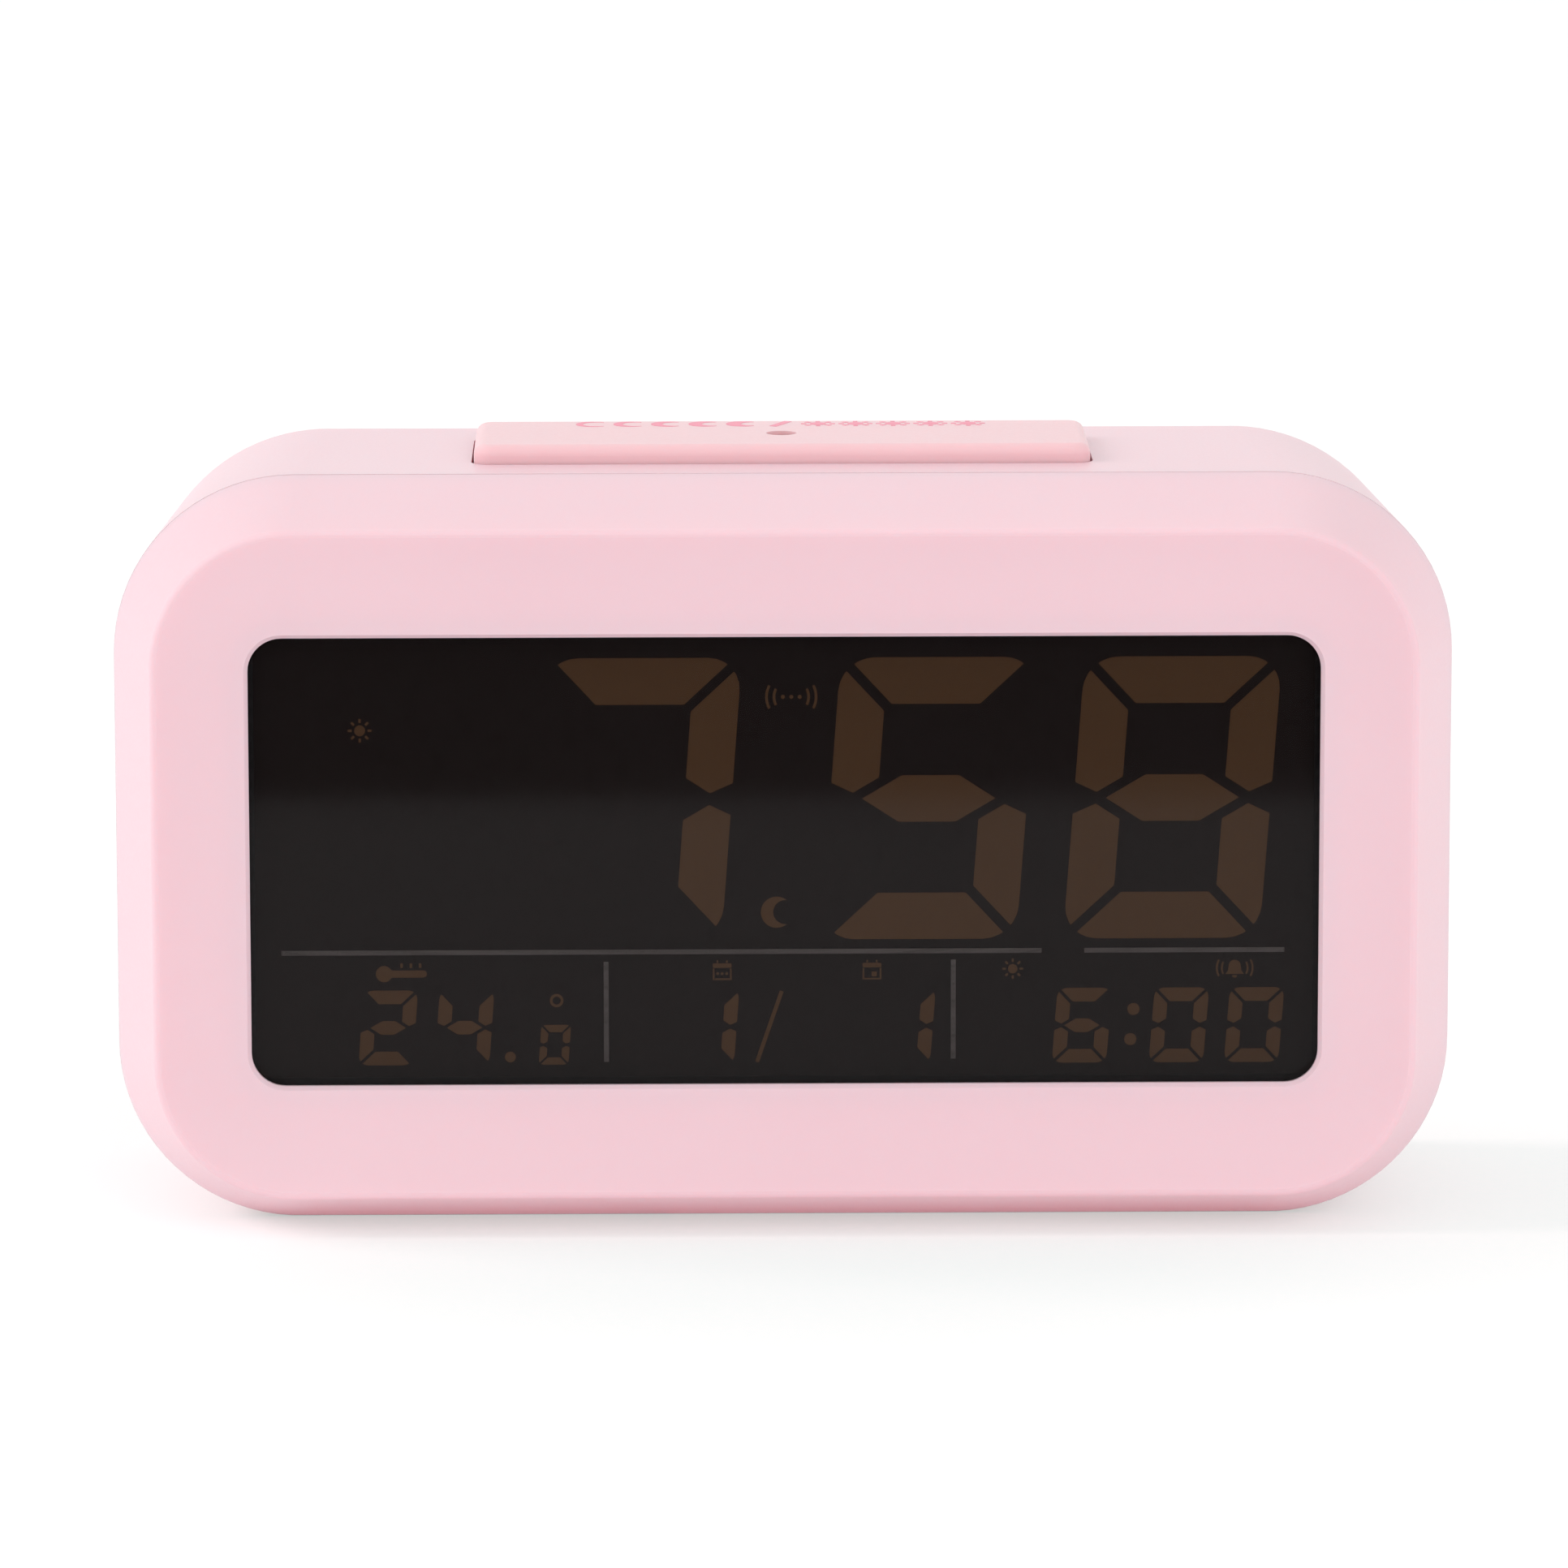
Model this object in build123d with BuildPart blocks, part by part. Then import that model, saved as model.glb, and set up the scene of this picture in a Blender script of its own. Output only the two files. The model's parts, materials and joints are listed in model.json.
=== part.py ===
"""Digital alarm clock with a snooze bar on top.

The front faces -Y, +X is the right hand side seen from the front and +Z is up.
The origin is on the table, under the middle of the case. All sizes are in millimetres.
"""

import os

from build123d import *

os.makedirs("parts", exist_ok=True)

# Case outline: a tapered front shell and a deeper rear shell meet at the parting plane
case_width = 135.0
case_height = 76.3
case_depth = 45.0
front_depth = 11.0
corner_radius = 18.2
rim_inset = 4.2
rim_edge_radius = 0.6
side_draft = 2.0
rear_corner_radius = 18.7
rear_edge_radius = 2.0
wall = 2.0
back_wall = 3.0
parting_gap = 0.2
base_trim = 0.02

# Lip of the front shell that lines the rear shell up
lip_thickness = 0.8
lip_length = 1.5
lip_clearance = 0.2

# Dished face and window
rim_land = 0.6
face_border_side = 9.6
face_border_level = 11.1
dish_depth = 2.2
dish_steps = 3
window_radius = 3.4
window_bevel = 0.4
window_land = 0.8

# Display stack, from the lens back to the board
lens_overlap = 1.5
lens_thickness = 1.5
lens_clearance = 0.15
lcd_margin = 0.8
lcd_gap = 0.2
lcd_thickness = 2.2
frame_wall = 1.4
frame_clearance = 0.2
frame_radius = 2.0
guide_thickness = 2.6
reflector_thickness = 0.3
strip_thickness = 1.6
strip_end_gap = 6.0
strip_clearance = 0.3
led_length = 2.0
led_width = 3.0
led_height = 1.6
led_spacing = 20.0

# Boards and the screws that hold them
board_thickness = 1.6
board_edge = 0.6
board_overlap = 0.3
board_screw_rise = 14.0
board_boss_radius = 2.4
board_boss_gap = 0.8
small_board_thickness = 1.2
small_head_radius = 1.8
small_head_height = 1.3
small_shank_radius = 0.95
small_shank_length = 5.0
screw_clearance = 0.05
screw_tip_gap = 0.4

# Case screws and the bosses that meet behind the main board
case_screw_side = 10.0
case_screw_level = 9.5
case_boss_radius = 3.0
case_column_radius = 3.6
case_boss_reach = 3.1
case_screw_land = 3.0
case_head_radius = 2.3
case_head_height = 1.8
case_head_clearance = 0.3
case_shank_radius = 1.25
case_shank_length = 10.0
drive_slot_width = 0.6
drive_slot_depth = 0.7
drive_slot_share = 1.3

# Circuit parts on the main board
blob_radius = 7.0
blob_height = 2.0
blob_x = -20.0
blob_rise = 4.0
crystal_radius = 1.0
crystal_length = 6.0
crystal_x = -6.0
crystal_gap = 0.1
thermistor_radius = 1.2
thermistor_lead = 3.0
thermistor_x = 42.0
thermistor_rise = -16.0
chip_width = 2.0
chip_height = 1.2
chip_thickness = 0.7
chip_pitch = 5.0
chip_count = 7
chip_rise = -10.0
capacitor_radius = 2.5
capacitor_length = 5.5
capacitor_x = 30.0
capacitor_rise = 6.0
header_width = 8.0
header_height = 4.0
header_length = 4.0

# Snooze bar
bar_width = 62.5
bar_depth = 18.0
bar_rise = 1.9
bar_setback = 6.5
bar_corner_radius = 1.7
bar_edge_radius = 1.1
bar_clearance = 0.25
bar_flange = 1.2
bar_flange_thickness = 1.6
bar_top_thickness = 1.8
bar_wall = 1.6
bar_post_radius = 2.2
bar_post_x = 18.0
lift_gap = 0.2
snooze_travel = 1.0
sensor_hole_radius = 1.55
sensor_setback = 8.4
sensor_radius = 2.5
sensor_can_height = 2.2
sensor_height = 7.5
sensor_leg = 0.6
sensor_leg_spacing = 2.5

# Board under the snooze bar
snooze_board_drop = 11.8
snooze_board_depth = 11.0
snooze_post_radius = 2.5
snooze_post_gap = 2.8
snooze_board_edge = 4.0

# Push switches
switch_size = 6.0
switch_height = 3.5
plunger_radius = 1.7
plunger_clearance = 0.15
plunger_proud = 1.5
plunger_sunk = 1.2
plunger_floor_gap = 0.3

# Key panel in the back
key_radius = 3.0
key_proud = 1.0
key_clearance = 0.2
key_flange = 0.9
key_flange_thickness = 0.9
key_stub_radius = 1.9
key_edge_radius = 0.4
key_travel = 0.6
key_spacing = 16.0
key_names = ["mode", "set", "up", "down"]
panel_depth = 1.2
panel_height = 10.0
panel_end = 6.0
panel_gap = 2.3
panel_radius = 2.0
key_board_drop = 7.1
key_board_height = 10.0
key_post_radius = 2.4
key_post_gap = 3.6

# Slide switches
slide_gap = 3.3
slide_travel = 3.0
slide_body_length = 8.6
slide_body_height = 4.4
slide_body_depth = 4.0
slide_stem = 2.0
slide_stem_sunk = 1.5
slide_slot_depth = 2.0
slide_clearance = 0.25
knob_length = 3.0
knob_height = 3.4
knob_sunk = 0.3
knob_flange_overlap = 0.8
knob_flange_thickness = 0.8

# Buzzer
buzzer_radius = 10.0
buzzer_height = 6.0
buzzer_clearance = 0.2
buzzer_ring_wall = 1.2
buzzer_ring_height = 3.0
buzzer_gap = 4.0
grille_hole_radius = 0.9
grille_radius = 4.2
grille_count = 8

# Battery bay and door
cell_radius = 5.25
cell_length = 44.5
cell_edge_radius = 0.5
cell_gap = 0.7
cell_count = 3
nub_radius = 1.9
nub_length = 0.8
plate_thickness = 0.4
plate_width = 9.0
spring_length = 4.0
spring_radius = 3.6
spring_tip_radius = 2.6
bay_margin = 0.6
bay_wall = 1.2
bay_floor_gap = 0.25
cell_cover_gap = 0.6
plate_seat_gap = 0.4
tab_width = 3.0
tab_reach = 1.7
tab_clearance = 0.15
door_bottom = 7.0
door_ledge = 2.8
door_thickness = 2.0
door_clearance = 0.25
door_seat_gap = 0.2
door_corner_radius = 1.5
latch_half_width = 6.0
latch_slit = 0.8
latch_length = 9.0
grip_pitch = 2.0
grip_width = 0.8
grip_depth = 0.5
grip_count = 3
pin_radius = 0.7
pin_length = 1.6
pin_clearance = 0.05
pin_end_gap = 0.2

# Wiring
lead_radius = 0.6
lead_bend = 3.0
lead_spacing = 4.0
lead_run = 5.5
ribbon_width = 7.0
ribbon_thickness = 0.4
ribbon_bend = 4.0
snooze_header_x = 22.0
snooze_header_rise = 12.0
key_ribbon_foot = 3.5
key_ribbon_drop = 4.0
battery_header_rise = -16.0
buzzer_header_rise = -4.0

# Planes and levels worked out from the sizes above
mid_z = case_height / 2
y_front = -case_depth / 2
y_back = case_depth / 2
y_part = y_front + front_depth
y_inner_back = y_back - back_wall
y_window = y_front + dish_depth
y_lens_front = y_window + window_land
y_face_back = y_lens_front + lens_thickness
y_lcd_front = y_face_back + lcd_gap
y_lcd_back = y_lcd_front + lcd_thickness
y_guide_back = y_lcd_back + guide_thickness
y_board_front = y_guide_back + reflector_thickness
y_board_back = y_board_front + board_thickness
y_meet = y_board_back + case_boss_reach
y_screw_seat = y_meet + case_screw_land
y_header = y_board_back + header_length
z_top_inner = case_height - wall

rim_width = case_width - 2 * rim_inset
rim_height = case_height - 2 * rim_inset
rim_radius = corner_radius - rim_inset
window_width = rim_width - 2 * face_border_side
window_height = rim_height - 2 * face_border_level
lens_width = window_width + 2 * lens_overlap
lens_height = window_height + 2 * lens_overlap
lens_radius = window_radius + lens_overlap
lcd_width = window_width + 2 * lcd_margin
lcd_height = window_height + 2 * lcd_margin
frame_inner_width = lcd_width + 2 * frame_clearance
frame_inner_height = lcd_height + 2 * frame_clearance
frame_width = frame_inner_width + 2 * frame_wall
frame_height = frame_inner_height + 2 * frame_wall
guide_left = -lcd_width / 2 + led_length
guide_width = lcd_width / 2 - guide_left
guide_x = (lcd_width / 2 + guide_left) / 2
guide_height = lcd_height - 2 * (strip_thickness + 2 * strip_clearance)
strip_rise = lcd_height / 2 - strip_clearance - strip_thickness / 2

board_boss_x = frame_width / 2 + board_boss_gap + board_boss_radius
board_width = 2 * (board_boss_x + board_boss_radius + board_edge)
board_height = lcd_height + 2 * board_overlap
board_screw_spots = [
    (side * board_boss_x, mid_z + rise * board_screw_rise) for side in (-1, 1) for rise in (-1, 1)
]
case_screw_spots = [
    (side * (case_width / 2 - case_screw_side), height)
    for side in (-1, 1)
    for height in (case_screw_level, case_height - case_screw_level)
]

bar_y = y_part + bar_setback + bar_depth / 2
z_bar_top = case_height + bar_rise
z_flange_top = z_top_inner - lift_gap
z_flange_bottom = z_flange_top - bar_flange_thickness
z_snooze_board = z_top_inner - snooze_board_drop
z_snooze_plunger = z_snooze_board + switch_height + plunger_proud
sensor_y = y_part + bar_setback + sensor_setback
snooze_post_x = bar_width / 2 + bar_flange + snooze_post_gap + snooze_post_radius
snooze_board_width = 2 * (snooze_post_x + snooze_board_edge)

bay_length = cell_length + 2 * plate_thickness + spring_length
cell_pitch = 2 * cell_radius + cell_gap
bay_height = cell_count * cell_pitch - cell_gap + 2 * bay_margin
door_width = bay_length + 2 * door_ledge
door_height = bay_height + 2 * door_ledge
bay_z = door_bottom + door_height / 2
y_ledge = y_back - door_thickness - door_seat_gap
y_cells = y_ledge - cell_cover_gap - cell_radius
y_bay_floor = y_cells - cell_radius - bay_floor_gap
y_bay_front = y_bay_floor - bay_wall
y_tab = y_bay_front - tab_reach
pin_y = y_back - door_thickness / 2
pin_z = door_bottom + door_thickness / 2
cell_levels = [bay_z + (index - (cell_count - 1) / 2) * cell_pitch for index in range(cell_count)]
buzzer_ring_inner = buzzer_radius + buzzer_clearance
buzzer_ring_outer = buzzer_ring_inner + buzzer_ring_wall
buzzer_x = -(bay_length / 2 + bay_wall + buzzer_gap + buzzer_ring_outer)

z_keys = door_bottom + door_height + door_clearance + panel_gap + panel_height / 2
y_panel = y_back - panel_depth
y_key_outer = y_panel + key_proud
y_key_flange = y_inner_back - lift_gap
y_key_board = y_inner_back - key_board_drop
y_key_plunger = y_key_board + switch_height + plunger_proud
key_places = [(index - (len(key_names) - 1) / 2) * key_spacing for index in range(len(key_names))]
key_post_x = key_places[-1] + switch_size / 2 + key_post_gap + key_post_radius
slide_x = key_post_x + key_post_radius + slide_gap + slide_body_length / 2
key_board_width = 2 * (slide_x + slide_body_length / 2 + board_edge)
slot_length = knob_length + slide_travel + 2 * slide_clearance
knob_flange_length = knob_length + 2 * (slide_travel + slide_clearance + knob_flange_overlap)
knob_flange_height = knob_height + 2 * (slide_clearance + knob_flange_overlap)
panel_width = 2 * (slide_x + panel_end)
z_key_ribbon = z_keys - key_ribbon_foot
z_key_header = z_key_ribbon - key_ribbon_drop


def upright(y):
    """Plane that faces the front at depth y, with sketch x along X and sketch y along Z."""
    return Plane.XZ.offset(-y)


def level(z):
    """Plane that faces up at height z."""
    return Plane.XY.offset(z)


def disc(plane, x, y, radius):
    with BuildSketch(plane) as sketch:
        with Locations((x, y)):
            Circle(radius)
    return sketch.sketch


def ring(plane, x, y, outer, inner):
    with BuildSketch(plane) as sketch:
        with Locations((x, y)):
            Circle(outer)
            Circle(inner, mode=Mode.SUBTRACT)
    return sketch.sketch


def rect(plane, x, y, width, height):
    with BuildSketch(plane) as sketch:
        with Locations((x, y)):
            Rectangle(width, height)
    return sketch.sketch


def rounded(plane, x, y, width, height, radius):
    with BuildSketch(plane) as sketch:
        with Locations((x, y)):
            RectangleRounded(width, height, radius)
    return sketch.sketch


def front_outline(y, inset):
    """Outline of the tapered front shell at depth y, drawn in by inset."""
    drawn_in = rim_inset * (y_part - y) / front_depth + inset
    return rounded(
        upright(y), 0, mid_z, case_width - 2 * drawn_in, case_height - 2 * drawn_in, corner_radius - drawn_in
    )


def rear_outline(y, inset, drop=0):
    """Outline of the rear shell at depth y, drawn in by inset and let down by drop. Only its sides taper."""
    share = (y - y_part) / (y_back - y_part)
    width = case_width - 2 * side_draft * share
    radius = corner_radius + (rear_corner_radius - corner_radius) * share
    height = case_height - 2 * inset + drop
    return rounded(upright(y), 0, mid_z - drop / 2, width - 2 * inset, height, radius - inset)


def dish_outline(step):
    """One section of the dish, which falls fast at the rim and flattens towards the window."""
    share = step / dish_steps
    depth = dish_depth * (1 - (1 - share) ** 2)
    side = rim_land + (face_border_side - rim_land - window_bevel) * share
    height = rim_land + (face_border_level - rim_land - window_bevel) * share
    first_radius = rim_radius - rim_land
    radius = first_radius + (window_radius + window_bevel - first_radius) * share
    return rounded(
        upright(y_front + depth), 0, mid_z, rim_width - 2 * side, rim_height - 2 * height, radius
    )


def cross_slot(plane, x, y, head_radius):
    """Cross shaped drive recess of a screw head."""
    with BuildSketch(plane) as sketch:
        with Locations((x, y)):
            Rectangle(drive_slot_share * head_radius, drive_slot_width)
            Rectangle(drive_slot_width, drive_slot_share * head_radius)
    return sketch.sketch


def small_bore(depth):
    """Radius and depth of the hole in a post for a small screw that passes a board of that thickness."""
    return small_shank_radius + screw_clearance, small_shank_length - depth + screw_tip_gap


# Front shell: tapered skirt, rounded rim, dished face with the window, lip and bosses
with BuildPart() as front_shell:
    loft([front_outline(y_part - parting_gap / 2, 0), front_outline(y_front, 0)], ruled=True)
    fillet(front_shell.faces().sort_by(Axis.Y)[0].edges(), rim_edge_radius)
    loft([dish_outline(step) for step in range(dish_steps + 1)], mode=Mode.SUBTRACT)
    bevel_width = window_width + 2 * window_bevel
    bevel_height = window_height + 2 * window_bevel
    bevel_top = rounded(upright(y_window), 0, mid_z, bevel_width, bevel_height, window_radius + window_bevel)
    bevel_foot = rounded(
        upright(y_window + window_bevel), 0, mid_z, window_width, window_height, window_radius
    )
    loft([bevel_top, bevel_foot], ruled=True, mode=Mode.SUBTRACT)
    window = rounded(upright(y_face_back), 0, mid_z, window_width, window_height, window_radius)
    extrude(window, amount=y_face_back - y_window, mode=Mode.SUBTRACT)
    loft([front_outline(y_part, wall), front_outline(y_face_back, wall)], ruled=True, mode=Mode.SUBTRACT)
    pocket_width = lens_width + 2 * lens_clearance
    pocket_height = lens_height + 2 * lens_clearance
    lens_pocket = rounded(
        upright(y_face_back), 0, mid_z, pocket_width, pocket_height, lens_radius + lens_clearance
    )
    extrude(lens_pocket, amount=lens_thickness, mode=Mode.SUBTRACT)
    lip_back = y_part + lip_length
    lip_outer = wall - lip_thickness
    with BuildSketch(upright(lip_back)):
        with Locations((0, mid_z)):
            RectangleRounded(
                case_width - 2 * lip_outer, case_height - 2 * lip_outer, corner_radius - lip_outer
            )
            RectangleRounded(
                case_width - 2 * wall, case_height - 2 * wall, corner_radius - wall, mode=Mode.SUBTRACT
            )
    extrude(amount=2 * lip_length)
    for x, z in board_screw_spots:
        extrude(disc(upright(y_board_front), x, z, board_boss_radius), amount=y_board_front - y_face_back)
    for x, z in case_screw_spots:
        extrude(disc(upright(y_meet), x, z, case_boss_radius), amount=y_meet - y_face_back)
    bore_radius, bore_depth = small_bore(board_thickness)
    for x, z in board_screw_spots:
        extrude(disc(upright(y_board_front), x, z, bore_radius), amount=bore_depth, mode=Mode.SUBTRACT)
    case_bore_depth = case_shank_length - case_screw_land + screw_tip_gap
    for x, z in case_screw_spots:
        case_bore = disc(upright(y_meet), x, z, case_shank_radius + screw_clearance)
        extrude(case_bore, amount=case_bore_depth, mode=Mode.SUBTRACT)

# Smoked lens, seated in the pocket behind the window
with BuildPart() as display_lens:
    lens = rounded(upright(y_face_back), 0, mid_z, lens_width, lens_height, lens_radius)
    extrude(lens, amount=lens_thickness)

# White frame around the display stack, clamped between the front shell and the main board
with BuildPart() as display_frame:
    frame_outer = rounded(upright(y_board_front), 0, mid_z, frame_width, frame_height, frame_radius)
    extrude(frame_outer, amount=y_board_front - y_face_back)
    frame_hole = rect(upright(y_board_front), 0, mid_z, frame_inner_width, frame_inner_height)
    extrude(frame_hole, amount=y_board_front - y_face_back, mode=Mode.SUBTRACT)

# Display glass
with BuildPart() as lcd_panel:
    extrude(rect(upright(y_lcd_back), 0, mid_z, lcd_width, lcd_height), amount=lcd_thickness)

# Light guide and the reflecting sheet behind it
with BuildPart() as light_guide:
    guide = rect(upright(y_guide_back), guide_x, mid_z, guide_width, guide_height)
    extrude(guide, amount=guide_thickness)

with BuildPart() as reflector_sheet:
    sheet = rect(upright(y_board_front), guide_x, mid_z, guide_width, guide_height)
    extrude(sheet, amount=reflector_thickness)

# Two lamps that light the guide from its left end
with BuildPart() as backlight_leds:
    for rise in (-led_spacing / 2, led_spacing / 2):
        led = rect(upright(y_board_front), guide_left - led_length / 2, mid_z + rise, led_length, led_width)
        extrude(led, amount=led_height)

# Two rubber strips that connect the display glass to the board
with BuildPart() as zebra_strips:
    for rise in (-strip_rise, strip_rise):
        strip = rect(upright(y_board_front), 0, mid_z + rise, lcd_width - 2 * strip_end_gap, strip_thickness)
        extrude(strip, amount=y_board_front - y_lcd_back)

# Main board and its four screws
with BuildPart() as main_board:
    extrude(rect(upright(y_board_back), 0, mid_z, board_width, board_height), amount=board_thickness)
    for x, z in board_screw_spots:
        hole = disc(upright(y_board_back), x, z, small_shank_radius + screw_clearance)
        extrude(hole, amount=board_thickness, mode=Mode.SUBTRACT)

with BuildPart() as main_board_screws:
    for x, z in board_screw_spots:
        extrude(disc(upright(y_board_back), x, z, small_head_radius), amount=-small_head_height)
        extrude(disc(upright(y_board_back), x, z, small_shank_radius), amount=small_shank_length)
        slot_plane = upright(y_board_back + small_head_height)
        drive = cross_slot(slot_plane, x, z, small_head_radius)
        extrude(drive, amount=drive_slot_depth, mode=Mode.SUBTRACT)

# Clock chip under a drop of resin
with BuildPart() as controller_blob:
    blob_foot = (blob_x, y_board_back, mid_z + blob_rise)
    dome_radius = (blob_radius**2 + blob_height**2) / (2 * blob_height)
    with BuildSketch(Plane(origin=blob_foot)):
        with BuildLine():
            Line((0, 0), (blob_radius, 0))
            RadiusArc((blob_radius, 0), (0, blob_height), -dome_radius)
            Line((0, blob_height), (0, 0))
        make_face()
    revolve(axis=Axis(blob_foot, (0, 1, 0)))

# Watch crystal lying on the board
with BuildPart() as quartz_crystal:
    crystal_y = y_board_back + crystal_gap + crystal_radius
    crystal = disc(level(mid_z - crystal_length / 2), crystal_x, crystal_y, crystal_radius)
    extrude(crystal, amount=crystal_length)

# Temperature sensor bead on a short lead
with BuildPart() as thermistor:
    bead_z = mid_z + thermistor_rise
    lead_foot = disc(upright(y_board_back), thermistor_x, bead_z, thermistor_radius / 2)
    extrude(lead_foot, amount=-thermistor_lead)
    bead = disc(upright(y_board_back + thermistor_lead), thermistor_x, bead_z, thermistor_radius)
    extrude(bead, amount=-2 * thermistor_radius)

# Small chips in a row and one round capacitor
with BuildPart() as board_components:
    for index in range(chip_count):
        chip_x = blob_x + (index - (chip_count - 1) / 2) * chip_pitch
        chip = rect(upright(y_board_back), chip_x, mid_z + chip_rise, chip_width, chip_height)
        extrude(chip, amount=-chip_thickness)
    can = disc(upright(y_board_back), capacitor_x, mid_z + capacitor_rise, capacitor_radius)
    extrude(can, amount=-capacitor_length)

# Sockets that the leads and flat cables plug into
header_spots = [
    (0, mid_z + battery_header_rise),
    (buzzer_x, mid_z + buzzer_header_rise),
    (0, z_key_header),
    (snooze_header_x, mid_z + snooze_header_rise),
]
with BuildPart() as board_connectors:
    for x, z in header_spots:
        extrude(rect(upright(y_board_back), x, z, header_width, header_height), amount=-header_length)

# Snooze bar: a hollow cap with a flange under the top wall and two posts that press the switches
with BuildPart() as snooze_bar:
    cap = rounded(level(z_flange_top), 0, bar_y, bar_width, bar_depth, bar_corner_radius)
    extrude(cap, amount=z_bar_top - z_flange_top)
    fillet(snooze_bar.faces().sort_by(Axis.Z)[-1].edges(), bar_edge_radius)
    flange_radius = bar_corner_radius + bar_flange
    flange_width = bar_width + 2 * bar_flange
    flange_depth = bar_depth + 2 * bar_flange
    extrude(
        rounded(level(z_flange_bottom), 0, bar_y, flange_width, flange_depth, flange_radius),
        amount=bar_flange_thickness,
    )
    z_ceiling = z_bar_top - bar_top_thickness
    hollow = rect(level(z_flange_bottom), 0, bar_y, bar_width - 2 * bar_wall, bar_depth - 2 * bar_wall)
    extrude(hollow, amount=z_ceiling - z_flange_bottom, mode=Mode.SUBTRACT)
    for x in (-bar_post_x, bar_post_x):
        extrude(disc(level(z_snooze_plunger), x, bar_y, bar_post_radius), amount=z_ceiling - z_snooze_plunger)
    sensor_hole = disc(level(z_ceiling), 0, sensor_y, sensor_hole_radius)
    extrude(sensor_hole, amount=bar_top_thickness, mode=Mode.SUBTRACT)

# Board under the bar, hung from two posts of the top wall
with BuildPart() as snooze_board:
    sheet = rect(level(z_snooze_board), 0, bar_y, snooze_board_width, snooze_board_depth)
    extrude(sheet, amount=-small_board_thickness)
    for x in (-snooze_post_x, snooze_post_x):
        hole = disc(level(z_snooze_board), x, bar_y, small_shank_radius + screw_clearance)
        extrude(hole, amount=-small_board_thickness, mode=Mode.SUBTRACT)

with BuildPart() as snooze_board_screws:
    z_seat = z_snooze_board - small_board_thickness
    for x in (-snooze_post_x, snooze_post_x):
        extrude(disc(level(z_seat), x, bar_y, small_head_radius), amount=-small_head_height)
        extrude(disc(level(z_seat), x, bar_y, small_shank_radius), amount=small_shank_length)
        slot_plane = level(z_seat - small_head_height)
        drive = cross_slot(slot_plane, x, bar_y, small_head_radius)
        extrude(drive, amount=drive_slot_depth, mode=Mode.SUBTRACT)

with BuildPart() as snooze_switches:
    bore_depth = plunger_sunk + snooze_travel + plunger_floor_gap
    for x in (-bar_post_x, bar_post_x):
        extrude(rect(level(z_snooze_board), x, bar_y, switch_size, switch_size), amount=switch_height)
        bore = disc(level(z_snooze_board + switch_height), x, bar_y, plunger_radius + plunger_clearance)
        extrude(bore, amount=-bore_depth, mode=Mode.SUBTRACT)

with BuildPart() as snooze_plungers:
    for x in (-bar_post_x, bar_post_x):
        stem = disc(level(z_snooze_plunger), x, bar_y, plunger_radius)
        extrude(stem, amount=-(plunger_proud + plunger_sunk))

# Light sensor on two legs, under the hole of the bar
with BuildPart() as light_sensor:
    z_can = z_snooze_board + sensor_height - sensor_can_height
    extrude(disc(level(z_can), 0, sensor_y, sensor_radius), amount=sensor_can_height)
    for x in (-sensor_leg_spacing / 2, sensor_leg_spacing / 2):
        leg = rect(level(z_snooze_board), x, sensor_y, sensor_leg, sensor_leg)
        extrude(leg, amount=z_can - z_snooze_board)


def make_key(x):
    """Round key with a flange behind the back wall and a stub that presses its switch."""
    with BuildPart() as key:
        extrude(disc(upright(y_key_outer), x, z_keys, key_radius), amount=y_key_outer - y_key_flange)
        fillet(key.faces().sort_by(Axis.Y)[-1].edges(), key_edge_radius)
        flange = disc(upright(y_key_flange), x, z_keys, key_radius + key_flange)
        extrude(flange, amount=key_flange_thickness)
        stub = disc(upright(y_key_flange - key_flange_thickness), x, z_keys, key_stub_radius)
        extrude(stub, amount=y_key_flange - key_flange_thickness - y_key_plunger)
    return key


def make_key_plunger(x):
    with BuildPart() as plunger:
        stem = disc(upright(y_key_plunger), x, z_keys, plunger_radius)
        extrude(stem, amount=plunger_proud + plunger_sunk)
    return plunger


def make_knob(x):
    """Slide knob at the left end of its travel, with the flange that closes its slot."""
    rest_x = x - slide_travel / 2
    knob_outer = y_back - knob_sunk
    with BuildPart() as knob:
        grip = rect(upright(knob_outer), rest_x, z_keys, knob_length, knob_height)
        extrude(grip, amount=knob_outer - y_key_flange)
        flange = rect(upright(y_key_flange), rest_x, z_keys, knob_flange_length, knob_flange_height)
        extrude(flange, amount=knob_flange_thickness)
        stem_back = y_key_flange - knob_flange_thickness
        stem_front = y_key_board + slide_body_depth - slide_stem_sunk
        stem = rect(upright(stem_back), rest_x, z_keys, slide_stem, slide_stem)
        extrude(stem, amount=stem_back - stem_front)
    return knob


# Four keys with the plungers of their switches, seen from the back in this order from the right
keys = {f"{name}_key": make_key(x) for name, x in zip(key_names, key_places)}
plungers = {f"{name}_plunger": make_key_plunger(x) for name, x in zip(key_names, key_places)}

# Two slide knobs
knobs = {"alarm_switch_knob": make_knob(-slide_x), "light_switch_knob": make_knob(slide_x)}

# Board behind the key panel with its switches
with BuildPart() as key_board:
    sheet = rect(upright(y_key_board), 0, z_keys, key_board_width, key_board_height)
    extrude(sheet, amount=small_board_thickness)
    for x in (-key_post_x, key_post_x):
        hole = disc(upright(y_key_board), x, z_keys, small_shank_radius + screw_clearance)
        extrude(hole, amount=small_board_thickness, mode=Mode.SUBTRACT)

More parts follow.
